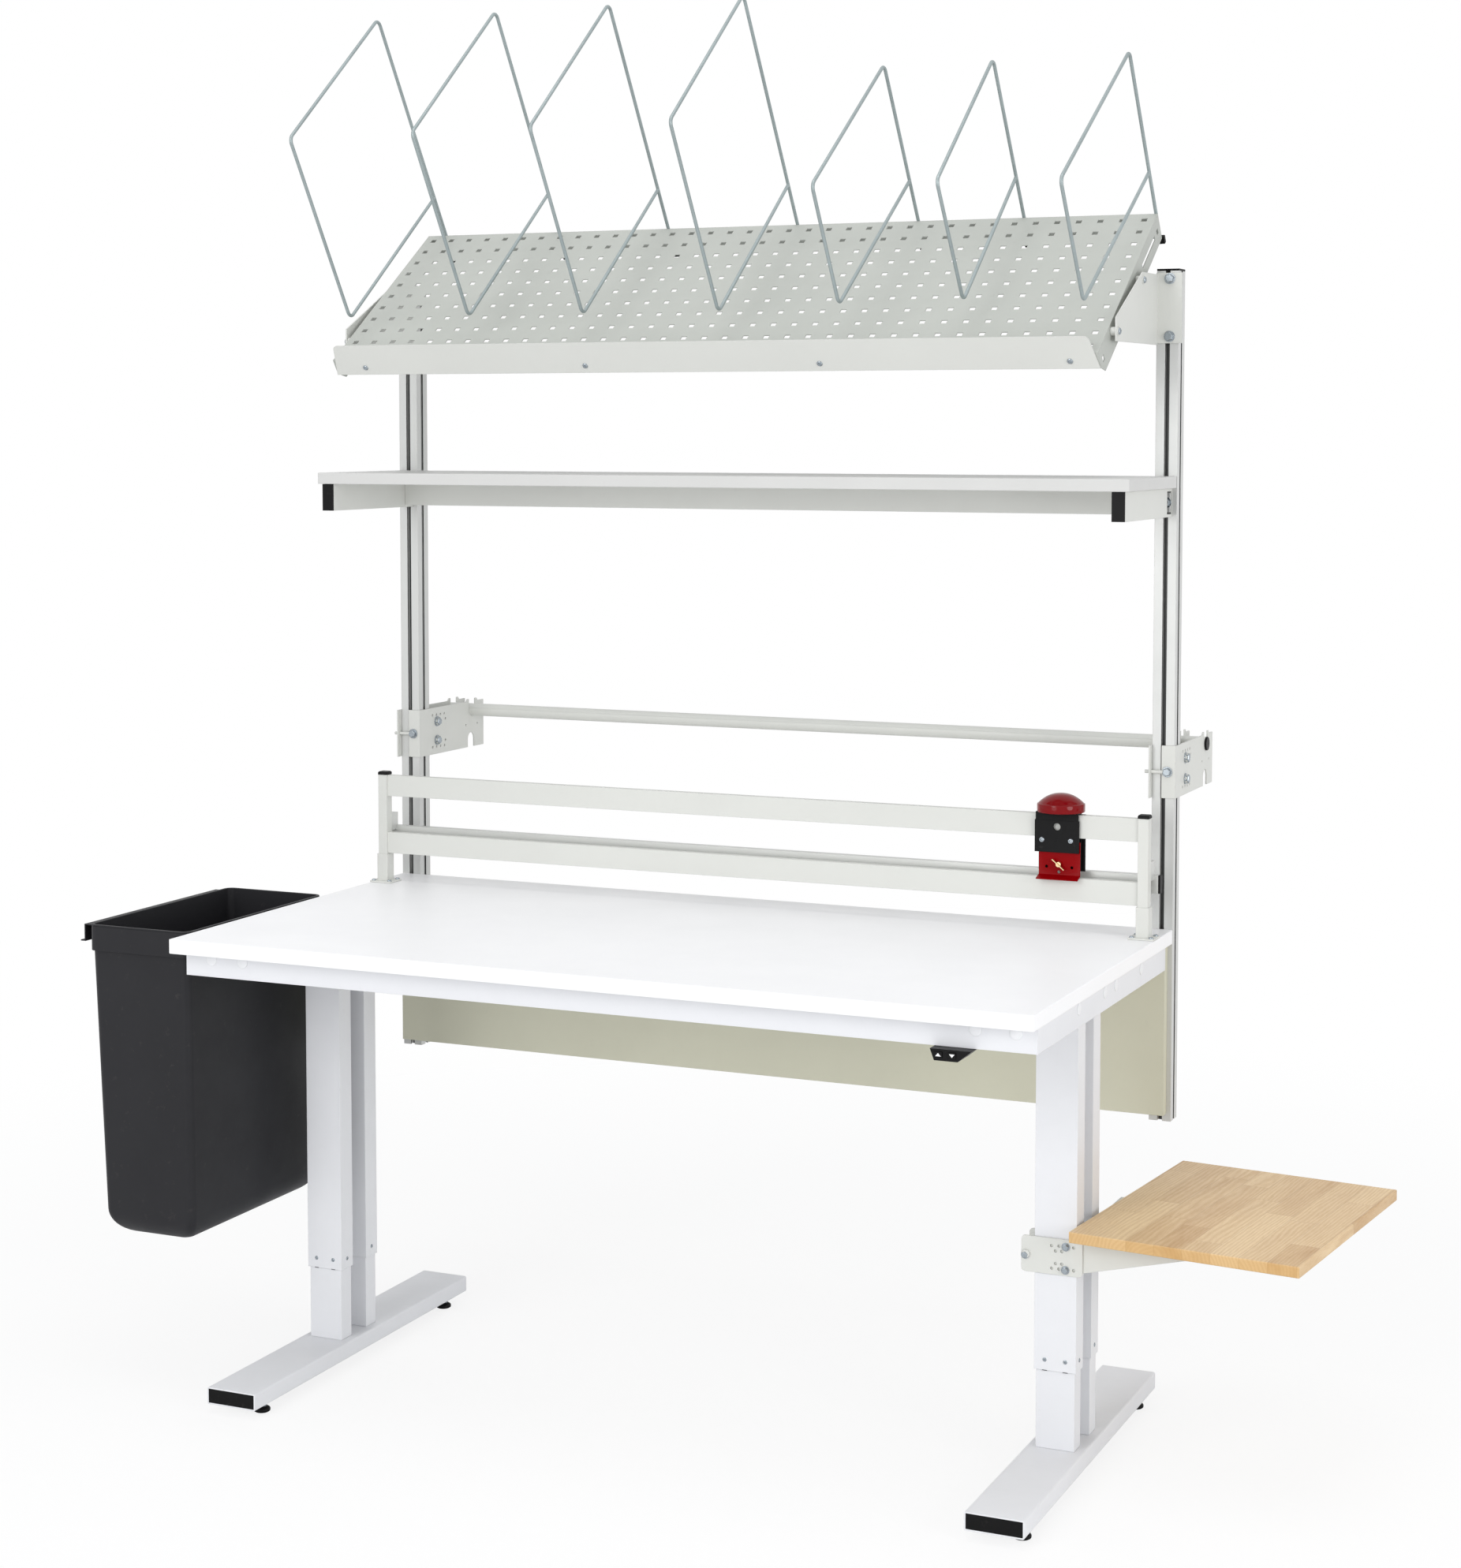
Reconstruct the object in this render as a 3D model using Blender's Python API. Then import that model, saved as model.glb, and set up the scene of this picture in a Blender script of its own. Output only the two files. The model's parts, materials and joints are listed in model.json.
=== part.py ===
# Packing table: a lifting table with posts, shelves, wire dividers, film cutter,
# roll holders, waste bin and side board. Metres, +Z up.
# The sizes below are measured from the floor and from the middle of the
# worktop's front edge. The finished model stands on its own middle.
import math

import bmesh
import bpy
from mathutils import Matrix, Vector
from mathutils.geometry import tessellate_polygon

# Shared clearances
GAP = 0.0003            # between pieces that touch
RUN = 0.0004            # between pieces that slide on each other
OVER = 0.004            # how far a cutter or a joined piece runs on

# Worktop
TOP_WIDTH = 1.500
TOP_DEPTH = 0.760
TOP_THICK = 0.0245
TOP_HEIGHT = 0.820
TOP_ROUND = 0.0015

# Apron ring under the worktop
APRON_IN = 0.007        # from the worktop's end to the apron's
APRON_FRONT = 0.040
APRON_TUBE = 0.030
APRON_HIGH = 0.0415
APRON_WALL = 0.002

# Feet, their end caps and glides
FOOT_IN = 0.0745        # from the worktop's end to the foot's centre line
FOOT_WIDE = 0.095
FOOT_HIGH = 0.0292
FOOT_CLEAR = 0.0183
FOOT_START = 0.0555
FOOT_OUT = 0.018        # how far the feet stand out behind the worktop
FOOT_WALL = 0.0025
FOOT_ROUND = 0.003
CAP_PLUG = 0.016
GLIDE_SIDE = 0.0275     # from the foot's centre line to the glide
GLIDE_END = 0.052       # from the foot's end to the glide
GLIDE_R = 0.014
GLIDE_HIGH = 0.009
GLIDE_NUT_R = 0.0085
STUD_R = 0.005
STUD_IN = 0.012         # how far the stud stands into the foot

# Columns: two telescopes at each side
COLUMN_WIDE = 0.069
COLUMN_DEEP = 0.038
COLUMN_WALL = 0.002
COLUMN_SLACK = 0.0007   # between inner and outer tube
COLUMN_IN = 0.407       # from the worktop's rear edge to the front pair
COLUMN_STEP = 0.083     # from the front pair to the rear pair
COLUMN_CLEAR = 0.1275   # from the foot to the outer tube
INNER_DOWN = 0.160      # from the worktop's face to the inner tube
INNER_WALL = 0.0025

# Panel under the rear edge
PANEL_IN = 0.008        # from the worktop's end to the panel's
PANEL_THICK = 0.018
PANEL_DOWN = 0.316      # below the worktop's face

# Slotted posts
POST = 0.038
POST_DOWN = 0.329       # below the worktop's face
POST_OVER = 0.006       # how far the posts end above the brackets
SLOT_HALF = 0.004
SLOT_LIP = 0.0022
SLOT_ROOM = 0.0075
SLOT_WALL = 0.002
SLOT_DEEP = 0.010
POST_CAP = 0.0032

# Upper shelf
SHELF_DEEP = 0.285
SHELF_THICK = 0.020
SHELF_UP = 0.766        # above the worktop's face
SHELF_BACK = 0.003      # between the board and the posts
ARM_WIDE = 0.0215
ARM_HIGH = 0.0477
ARM_WALL = 0.002
ARM_LONG = 0.282        # from the posts to the arm's front end
ARM_CAP = 0.003
ARM_WINDOW = 0.029
ARM_WINDOW_HIGH = 0.038
ARM_WINDOW_BACK = 0.002
BEAM_DEEP = 0.022
BEAM_HIGH = 0.044
BEAM_BACK = 0.010

# Tilted shelf of punched sheet
TILT = math.radians(35)
TRAY_REACH = 0.3085     # from the posts to the tray's front edge
TRAY_UP = 0.966         # from the worktop's face to the tray's front edge
PITCH = 0.038
HOLE = 0.010
ROWS_OF_HOLES = 11
SHEET = 0.0015
SKIRT = 0.048
SKIRT_FRONT = 0.029
SIDE_SLOT = 0.008
SIDE_SLOT_LONG = 0.090
LIP_ABOVE = 0.031
LIP_BELOW = 0.030
LIP_ROUND = 0.010
LIP_DRAFT = 0.010       # how much shorter the lip is at its top

# Brackets of the tilted shelf
CHEEK = 0.0025
CHEEK_LONG = 0.246      # from the posts to the cheek's front end
CHEEK_UP = 0.019        # above the tray's front edge
CHEEK_HIGH = 0.117
CHEEK_FRONT_HIGH = 0.038
CHEEK_BACK_LONG = 0.0937
EAR_WIDE = 0.0438
EAR_THICK = 0.003
BOSS_R = 0.007
BOSS_HEAD = 0.002
BOSS_IN = 0.013         # from the cheek's slanted edge down to the rear boss
BOSS_LOW = 0.016        # from the cheek's lower edge up to the front boss
BOSS_NEAR = 0.008

# Wire dividers, in the plane of the sheet: along its slope and above it
WIRE_R = 0.003
WIRE_BEND = 0.012
THIN_SHARE = 0.97       # the joined rail runs just inside the wire's skin
WIRE_FOOT = 0.060       # below the sheet, behind its rear skirt
TALL = (0.4400, 0.4369)     # top corner: above the sheet, along the slope
SHORT = (0.3007, 0.4248)
JOINT_HIGH = 0.078
DIVIDER_X_SHARES = (-0.950, -0.610, -0.2945, 0.066, 0.390, 0.664, 0.994)
DIVIDER_TALL = (True, True, True, True, False, False, False)
FRONT_SLOPE_SHARES = (0.143, 0.143, 0.143, 0.143, 0.083, 0.180, -0.024)
FRONT_HIGH_SHARES = (0.937, 0.937, 0.937, 0.937, 0.996, 0.917, 1.063)
LOW_SLOPE_SHARES = (0.105, 0.105, 0.105, 0.105, 0.059, 0.182, -0.027)
LOW_HIGH_SHARES = (0.133, 0.133, 0.133, 0.133, 0.271, 0.172, 0.339)

# Roll holders and roll tube
HOLDER_PLATE = 0.0025
HOLDER_REACH = 0.207    # behind the post
HOLDER_UP = 0.2235      # above the worktop's face
HOLDER_HIGH = 0.089
HOLDER_TAB = 0.010
HOLDER_EAR = 0.024
HOLDER_JAW_OUT = 0.0125  # how far the far plate stands out in front of the post
HOLDER_BOLT_R = 0.003
HOLDER_BOLT_OUT = 0.008
HOLDER_BOLT_BACK = 0.0245 # behind the post
HOLDER_BOLT_UP = 0.0265
HOLDER_NUT_R = 0.0072
HOLDER_NUT = 0.005
ROLL_BACK = 0.162       # from the post to the roll's axis
ROLL_UP = 0.0725        # from the holder's lower edge to the roll's axis
ROLL_R = 0.012
ROLL_WALL = 0.0015
ROLL_OUT = 0.004
ROLL_LEFT_OUT = 0.018   # beyond the left holder's far plate
HOOK_WIDE = 0.025
HOOK_HIGH = 0.0285

# Film cutter
CUTTER_IN = 0.100       # from the worktop's rear edge to the cutter's middle
UPRIGHT = 0.018
BAR_THICK = 0.012
BAR_HIGH = 0.039
CUTTER_HIGH = 0.201     # above the worktop's face
BAR_STEP = 0.107        # from the upper bar to the lower one
SLEEVE = 0.022
SLEEVE_HIGH = 0.053
FOOTING_WIDE = 0.044
FOOTING_DEEP = 0.040
FOOTING_THICK = 0.003
RAIL_IN = 0.005         # from the worktop's end to the rail's
RAIL_DEEP = 0.014
RAIL_UP = 0.009         # above the lower bar
RAIL_HIGH = 0.030
RAIL_BACK = 0.015       # between the uprights and the rail
RAIL_TAB = 0.018
RAIL_TAB_UP = 0.0245

# Carriage of the cutter
CARRIAGE_IN = 0.170     # from the worktop's right end
CARRIAGE_WIDE = 0.074
CARRIAGE_BACK_WIDE = 0.088
PLATE = 0.003
FRONT_DOWN = 0.064      # below the upper bar's top, as the next ones
BACK_DOWN = 0.096
PEEP_R = 0.0063
PEEP_DOWN = 0.021
GUARD_PLATE = 0.002
GUARD_WIDE = 0.072
GUARD_DOWN = 0.109
GUARD_UP = 0.063
GUARD_TOE = 0.012
GUARD_SIDE = 0.003      # how far the guard stands out beside the front plate
WING_DOWN = 0.084
WING_R = 0.0025
WING_HUB_R = 0.0045
WING_HUB = 0.007
WING_SPAN = 0.027
WING_BLADE = 0.006
WING_THICK = 0.0016
WING_TURN = math.radians(40)
WING_OUT = 0.005
DOME_R = 0.0415
DOME_RIM = 0.012
DOME_HIGH = 0.034
DOME_SIDE = 0.004       # from the carriage's middle to the dome's

# Hand switch under the front apron
SWITCH_IN = 0.167       # from the worktop's right end
SWITCH_WIDE = 0.065
SWITCH_HIGH = 0.0174
SWITCH_SLOPE_LEFT = 0.0065
SWITCH_SLOPE_RIGHT = 0.0215
SWITCH_FRONT = 0.020
SWITCH_DEEP = 0.050
BUTTON_WIDE = 0.012
BUTTON_HIGH = 0.009
BUTTON_OUT = 0.0013
BUTTON_IN = 0.0027
BUTTON_TRAVEL = 0.001
BUTTON_STEP = 0.0215
BUTTON_LEFT = 0.0135    # from the switch's left end to the first button

# Bin and its steel frame
BIN_OUT = 0.012         # from the worktop's left end
BIN_WIDE = 0.204
BIN_NEAR = 0.070
BIN_DEEP = 0.425
BIN_DOWN = 0.002        # from the worktop's face down to the rim
BIN_RIM_THICK = 0.0025
BIN_TALL = 0.540
BIN_WALL = 0.0025
BIN_TAPER = 0.020
BIN_DRAFT = 0.006
BIN_CORNER = 0.014
BIN_FLOOR_R = 0.045
BIN_SLACK = 0.0008
BAND = 0.002
BAND_HIGH = 0.042
BAND_CORNER = 0.016
LEDGE_OUT = 0.018
LEDGE_DOWN = 0.030
LEDGE_INSET = 0.015
LEDGE_TAB = 0.008
HANGER_LONG = 0.180
HANGER_INSET = 0.100
HANGER_HIGH = 0.030
HANGER_DROP = 0.005
HANGER_PLATE = 0.003

# Side board, its arm and its clamp
BOARD_OUT = 0.211       # from the columns' outer faces to the board's middle
BOARD_BACK = 0.182      # from the front column's face to the board's middle
BOARD_WIDE = 0.3725
BOARD_DEEP = 0.495
BOARD_THICK = 0.018
BOARD_DOWN = 0.404      # below the worktop's face
BOARD_TURN = math.radians(-6)
BOARD_ROUND = 0.0015
CLAMP_WIDE = 0.1006
CLAMP_DOWN = 0.084      # from the board's face to the clamp's lower edge
CLAMP_HIGH = 0.058
CLAMP_PLATE = 0.003
CLAMP_LAP = 0.010       # how far the clamp laps the arm
CLAMP_ROUND = 0.006
CLAMP_BOLT_R = 0.004
CLAMP_HEAD_R = 0.0065
CLAMP_HEAD = 0.004
CLAMP_BOLT_IN = 0.008
ARM_PLATE = 0.003
BOARD_ARM_LONG = 0.241
BOARD_ARM_DROP = 0.0617
BOARD_ARM_DEEP = 0.247

# Places that follow from the worktop's end and rear edge
TOP_END = TOP_WIDTH / 2
APRON_WIDTH = TOP_WIDTH - 2 * APRON_IN
FOOT_SPREAD = TOP_WIDTH - 2 * FOOT_IN
FOOT_LONG = TOP_DEPTH + FOOT_OUT - FOOT_START
COLUMN_FRONT = TOP_DEPTH - COLUMN_IN
COLUMN_OUT = FOOT_SPREAD / 2 + COLUMN_WIDE / 2
PANEL_WIDTH = TOP_WIDTH - 2 * PANEL_IN
POST_SPREAD = TOP_WIDTH - POST      # between the posts' centre lines
POST_INSIDE = POST_SPREAD / 2 - POST / 2
POST_OUTSIDE = POST_SPREAD / 2 + POST / 2
POST_FRONT = TOP_DEPTH
PANEL_FRONT = POST_FRONT - GAP - PANEL_THICK
ARM_FRONT = POST_FRONT - ARM_LONG
ARM_BACK = POST_FRONT - GAP
TRAY_FRONT = POST_FRONT - TRAY_REACH
COLUMNS_OF_HOLES = int(2 * POST_INSIDE / PITCH)
TRAY_WIDE = COLUMNS_OF_HOLES * PITCH
TRAY_DEEP = ROWS_OF_HOLES * PITCH
CHEEK_NEAR = POST_FRONT - CHEEK_LONG
ROLL_Y = POST_FRONT + POST + ROLL_BACK
HOLDER_END = POST_FRONT + POST + HOLDER_REACH
CUTTER_SPREAD = TOP_WIDTH - FOOTING_WIDE
CUTTER_Y = TOP_DEPTH - CUTTER_IN
BAR_FRONT = CUTTER_Y - BAR_THICK / 2
BAR_BACK = CUTTER_Y + BAR_THICK / 2
RAIL_LONG = TOP_WIDTH - 2 * RAIL_IN
CARRIAGE_X = TOP_END - CARRIAGE_IN
GUARD_BACK = BAR_FRONT - RUN
PLATE_BACK = GUARD_BACK - GUARD_PLATE - GAP
PLATE_FRONT = PLATE_BACK - PLATE
BACK_PLATE = BAR_BACK + RUN
SWITCH_LEFT = TOP_END - SWITCH_IN
BIN_RIGHT = -TOP_END - BIN_OUT
BIN_LEFT = BIN_RIGHT - BIN_WIDE
BIN_FAR = BIN_NEAR + BIN_DEEP
BOARD_X = COLUMN_OUT + BOARD_OUT
BOARD_Y = COLUMN_FRONT + BOARD_BACK
BOARD_REACH = (BOARD_WIDE / 2 * math.cos(BOARD_TURN)
               - BOARD_DEEP / 2 * math.sin(BOARD_TURN))

# Heights that follow from the worktop's face
TOP_UNDER = TOP_HEIGHT - TOP_THICK
SEAT = TOP_UNDER - GAP
APRON_LOW = SEAT - APRON_HIGH
FOOT_TOP = FOOT_CLEAR + FOOT_HIGH
COLUMN_BOTTOM = FOOT_TOP + COLUMN_CLEAR
INNER_TOP = TOP_HEIGHT - INNER_DOWN
PANEL_BOTTOM = TOP_HEIGHT - PANEL_DOWN
POST_BOTTOM = TOP_HEIGHT - POST_DOWN
SHELF_HEIGHT = TOP_HEIGHT + SHELF_UP
ARM_TOP = SHELF_HEIGHT - SHELF_THICK - GAP
TRAY_HEIGHT = TOP_HEIGHT + TRAY_UP
CHEEK_LOW = TRAY_HEIGHT + CHEEK_UP
CHEEK_TOP = CHEEK_LOW + CHEEK_HIGH
POST_TOP = CHEEK_TOP + POST_OVER
HOLDER_LOW = TOP_HEIGHT + HOLDER_UP
HOLDER_TOP = HOLDER_LOW + HOLDER_HIGH
ROLL_HEIGHT = HOLDER_LOW + ROLL_UP
BAR_UPPER = TOP_HEIGHT + CUTTER_HIGH
BAR_LOWER = BAR_UPPER - BAR_STEP
RAIL_TOP = BAR_LOWER + RAIL_UP
BRIDGE_LOW = BAR_UPPER + RUN
BRIDGE_TOP = BRIDGE_LOW + PLATE
FRONT_LOW = BAR_UPPER - FRONT_DOWN
BACK_LOW = BAR_UPPER - BACK_DOWN
PEEP_HIGH = BAR_UPPER - PEEP_DOWN
GUARD_LOW = BAR_UPPER - GUARD_DOWN
WING_HIGH = BAR_UPPER - WING_DOWN
BIN_RIM = TOP_HEIGHT - BIN_DOWN
BIN_BASE = BIN_RIM - BIN_TALL
BAND_TOP = BIN_RIM - BIN_RIM_THICK - GAP
BAND_LOW = BAND_TOP - BAND_HIGH
BOARD_HEIGHT = TOP_HEIGHT - BOARD_DOWN
ARM_SEAT = BOARD_HEIGHT - BOARD_THICK - GAP
CLAMP_LOW = BOARD_HEIGHT - CLAMP_DOWN

# The model's own origin: on the floor, under the middle of the whole object
LEFT_END = BIN_LEFT - LEDGE_OUT - LEDGE_TAB
RIGHT_END = BOARD_X + BOARD_REACH
MIDDLE = ((LEFT_END + RIGHT_END) / 2, HOLDER_END / 2, 0)

# Sides of round pieces
FINE = 32
ROUND = 16
COARSE = 12

# Looks: colour, roughness, metallic
LOOKS = {
    "white_top": ((0.90, 0.90, 0.91), 0.45, 0.0),
    "white_steel": ((0.82, 0.83, 0.86), 0.40, 0.0),
    "grey_steel": ((0.70, 0.71, 0.68), 0.50, 0.0),
    "grey_board": ((0.70, 0.71, 0.67), 0.45, 0.0),
    "punched_steel": ((0.45, 0.48, 0.44), 0.50, 0.0),
    "panel": ((0.60, 0.60, 0.48), 0.55, 0.0),
    "aluminium": ((0.66, 0.67, 0.68), 0.35, 1.0),
    "zinc": ((0.55, 0.60, 0.64), 0.35, 1.0),
    "black_plastic": ((0.012, 0.012, 0.014), 0.45, 0.0),
    "bin_plastic": ((0.022, 0.022, 0.025), 0.50, 0.0),
    "wood": ((0.55, 0.36, 0.17), 0.45, 0.0),
    "red": ((0.42, 0.01, 0.015), 0.15, 0.0),
    "brass": ((0.70, 0.50, 0.22), 0.30, 1.0),
}
HOMES = {}              # where each parent empty stands


# Outlines: lists of points in a plane
def rect(a0, b0, a1, b1):
    return [(a0, b0), (a1, b0), (a1, b1), (a0, b1)]


def centred(a, b, wide, high):
    return rect(a - wide / 2, b - high / 2, a + wide / 2, b + high / 2)


def arc(a, b, radius, start, end, steps):
    points = []
    for k in range(steps + 1):
        angle = start + (end - start) * k / steps
        points.append((a + radius * math.cos(angle), b + radius * math.sin(angle)))
    return points


def rounded(a0, b0, a1, b1, radius, steps):
    centres = ((a1 - radius, b1 - radius), (a0 + radius, b1 - radius),
               (a0 + radius, b0 + radius), (a1 - radius, b0 + radius))
    points = []
    for k, (a, b) in enumerate(centres):
        points += arc(a, b, radius, k * math.pi / 2, (k + 1) * math.pi / 2, steps)
    return points


def mirrored(points):
    return [(-a, b) for a, b in points]


# From an outline's plane to space: the two letters name the outline's axes
def in_space(axes, a, b, c):
    if axes == "XY":
        return Vector((a, b, c))
    if axes == "XZ":
        return Vector((a, c, b))
    return Vector((c, a, b))


def patch(bm, loops, place):
    # a flat face with holes: the first loop is its edge, the others its holes
    flat = [[Vector((*p, 0)) for p in loop] for loop in loops]
    corners = [bm.verts.new(place(p.x, p.y)) for loop in flat for p in loop]
    for face in tessellate_polygon(flat):
        bm.faces.new([corners[k] for k in face])


def wall(bm, loop, near, far):
    count = len(loop)
    for k in range(count):
        a, b = loop[k], loop[(k + 1) % count]
        ring = (near(*a), near(*b), far(*b), far(*a))
        bm.faces.new([bm.verts.new(p) for p in ring])


def closed(bm):
    bmesh.ops.remove_doubles(bm, verts=bm.verts, dist=1e-6)
    bmesh.ops.recalc_face_normals(bm, faces=bm.faces)
    return bm


def slab(axes, c0, c1, *loops):
    bm = bmesh.new()

    def near(a, b):
        return in_space(axes, a, b, c0)

    def far(a, b):
        return in_space(axes, a, b, c1)

    patch(bm, loops, near)
    patch(bm, loops, far)
    for loop in loops:
        wall(bm, loop, near, far)
    return closed(bm)


def box(x0, x1, y0, y1, z0, z1):
    return slab("XY", z0, z1, rect(x0, y0, x1, y1))


def turned(profile, sides, axis, at):
    # profile: distance from the axis, place along the axis
    bm = bmesh.new()
    verts = [bm.verts.new((r, 0, h)) for r, h in profile]
    edges = [bm.edges.new(pair) for pair in zip(verts, verts[1:])]
    bmesh.ops.spin(bm, geom=verts + edges, cent=(0, 0, 0), axis=(0, 0, 1),
                   angle=math.tau, steps=sides, use_merge=True)
    turn = {"X": Matrix.Rotation(math.pi / 2, 4, "Y"),
            "Y": Matrix.Rotation(-math.pi / 2, 4, "X"), "Z": Matrix()}[axis]
    bmesh.ops.transform(bm, matrix=Matrix.Translation(at) @ turn, verts=bm.verts)
    return closed(bm)


def rod(axis, at, radius, length, sides):
    return turned(((0, 0), (radius, 0), (radius, length), (0, length)), sides, axis, at)


def wire(points, radius, sides, x):
    # a round wire along points in the plane of constant x
    bm = bmesh.new()
    path = [Vector((0, a, b)) for a, b in points]
    across = Vector((1, 0, 0))
    rings = []
    for k, spot in enumerate(path):
        before = path[max(k - 1, 0)]
        after = path[min(k + 1, len(path) - 1)]
        out = (after - before).normalized().cross(across)
        ring = []
        for s in range(sides):
            turn = math.tau * s / sides
            offset = out * math.cos(turn) + across * math.sin(turn)
            ring.append(bm.verts.new(spot + offset * radius + across * x))
        rings.append(ring)
    for near, far in zip(rings, rings[1:]):
        for s in range(sides):
            t = (s + 1) % sides
            bm.faces.new((near[s], near[t], far[t], far[s]))
    bm.faces.new(rings[0])
    bm.faces.new(rings[-1])
    return closed(bm)


def bent(points, radius, steps):
    # the points of a path with its inner corners rounded
    path = [Vector(p) for p in points]
    result = [path[0]]
    for before, corner, after in zip(path, path[1:], path[2:]):
        inward = (before - corner).normalized()
        onward = (after - corner).normalized()
        half = inward.angle(onward) / 2
        reach = radius / math.tan(half)
        centre = corner + (inward + onward).normalized() * radius / math.sin(half)
        first = corner + inward * reach - centre
        sweep = first.angle_signed(corner + onward * reach - centre)
        for k in range(steps + 1):
            turn = Matrix.Rotation(-sweep * k / steps, 2)
            result.append(centre + turn @ first)
    result.append(path[-1])
    return result


# Objects
def surface(name, look):
    colour, roughness, metallic = LOOKS[look]
    material = bpy.data.materials.new(name + "_surface")
    material.use_nodes = True
    shader = material.node_tree.nodes["Principled BSDF"]
    shader.inputs["Base Color"].default_value = (*colour, 1)
    shader.inputs["Roughness"].default_value = roughness
    shader.inputs["Metallic"].default_value = metallic
    return material


def home(name, at, parent=None):
    empty = bpy.data.objects.new(name, None)
    bpy.context.scene.collection.objects.link(empty)
    HOMES[name] = Vector(at)
    empty.location = Vector(at)
    if parent:
        empty.parent = bpy.data.objects[parent]
        empty.location = Vector(at) - HOMES[parent]
    return empty


def middle(bm):
    low = [min(v.co[k] for v in bm.verts) for k in range(3)]
    high = [max(v.co[k] for v in bm.verts) for k in range(3)]
    return (Vector(low) + Vector(high)) / 2


def shape(name, bm, parent, at=None):
    at = middle(bm) if at is None else Vector(at)
    bmesh.ops.translate(bm, vec=-at, verts=bm.verts)
    mesh = bpy.data.meshes.new(name)
    bm.to_mesh(mesh)
    bm.free()
    thing = bpy.data.objects.new(name, mesh)
    bpy.context.scene.collection.objects.link(thing)
    thing.parent = bpy.data.objects[parent]
    thing.location = at - HOMES[parent]
    return thing


def piece(name, bm, look, parent, at=None, smooth=False):
    thing = shape(name, bm, parent, at)
    thing.data.materials.append(surface(name, look))
    if smooth:
        thing.data.shade_smooth()
        thing.data.set_sharp_from_angle(angle=math.radians(40))
    return thing


def soften(thing, width):
    bevel = thing.modifiers.new("edges", "BEVEL")
    bevel.width = width
    bevel.segments = 2
    return thing


def combine(thing, operation, *meshes):
    for k, bm in enumerate(meshes):
        helper = shape(f"{thing.name}_{operation.lower()}_{k}", bm, thing.parent.name)
        helper.hide_render = True
        helper.display_type = "WIRE"
        change = thing.modifiers.new(helper.name, "BOOLEAN")
        change.operation = operation
        change.solver = "EXACT"
        change.object = helper
    return thing


def join(thing, *meshes):
    return combine(thing, "UNION", *meshes)


def cut(thing, *meshes):
    return combine(thing, "DIFFERENCE", *meshes)


# Feet, caps, glides and inner tubes
def foot(side, sign):
    x = sign * FOOT_SPREAD / 2
    half = FOOT_WIDE / 2
    end = FOOT_START + FOOT_LONG
    skin = rounded(x - half, FOOT_CLEAR, x + half, FOOT_TOP, FOOT_ROUND, 2)
    inside = rect(x - half + FOOT_WALL, FOOT_CLEAR + FOOT_WALL,
                  x + half - FOOT_WALL, FOOT_TOP - FOOT_WALL)
    inner = FOOT_WALL + GAP
    plug = rect(x - half + inner, FOOT_CLEAR + inner, x + half - inner, FOOT_TOP - inner)
    tube = piece("foot_" + side, slab("XZ", FOOT_START, end, skin, inside),
                 "white_steel", "table_frame")
    for place, y, way in (("front", FOOT_START, 1), ("rear", end, -1)):
        piece(f"foot_cap_{side}_{place}", slab("XZ", y, y + way * CAP_PLUG, plug),
              "black_plastic", "table_frame")
        spot = (x + GLIDE_SIDE, y + way * GLIDE_END, 0)
        cut(tube, rod("Z", spot, STUD_R + GAP, FOOT_TOP - FOOT_WALL - GAP, ROUND))
        glide(f"glide_{side}_{place}", spot)


def glide(name, spot):
    under = FOOT_CLEAR - GAP
    top = FOOT_CLEAR + FOOT_WALL + STUD_IN
    step = GLIDE_HIGH / 4
    profile = ((0, 0), (GLIDE_R - step, 0), (GLIDE_R, step), (GLIDE_R, GLIDE_HIGH - step),
               (GLIDE_R - step, GLIDE_HIGH), (GLIDE_NUT_R, GLIDE_HIGH), (GLIDE_NUT_R, under),
               (STUD_R, under), (STUD_R, top), (0, top))
    home(name + "_axis", spot, "table_frame")
    piece(name, turned(profile, ROUND, "Z", spot), "black_plastic", name + "_axis", spot, True)


def column(side, sign, place, front):
    x = sign * FOOT_SPREAD / 2
    y = front + COLUMN_DEEP / 2
    wide, deep = COLUMN_WIDE, COLUMN_DEEP
    hollow = centred(x, y, wide - 2 * COLUMN_WALL, deep - 2 * COLUMN_WALL)
    piece(f"outer_tube_{side}_{place}",
          slab("XY", COLUMN_BOTTOM, SEAT, centred(x, y, wide, deep), hollow),
          "white_steel", "lift_slide")
    less = 2 * (COLUMN_WALL + COLUMN_SLACK)
    wide, deep = wide - less, deep - less
    hollow = centred(x, y, wide - 2 * INNER_WALL, deep - 2 * INNER_WALL)
    piece(f"inner_tube_{side}_{place}",
          slab("XY", FOOT_TOP + GAP, INNER_TOP, centred(x, y, wide, deep), hollow),
          "white_steel", "table_frame")


# Worktop, apron and panel
def worktop():
    half = TOP_WIDTH / 2
    top = piece("worktop", box(-half, half, 0, TOP_DEPTH, TOP_UNDER, TOP_HEIGHT),
                "white_top", "lift_slide")
    soften(top, TOP_ROUND)
    apron()
    half = PANEL_WIDTH / 2
    piece("back_panel", box(-half, half, PANEL_FRONT, POST_FRONT - GAP, PANEL_BOTTOM, SEAT),
          "panel", "lift_slide")


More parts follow.
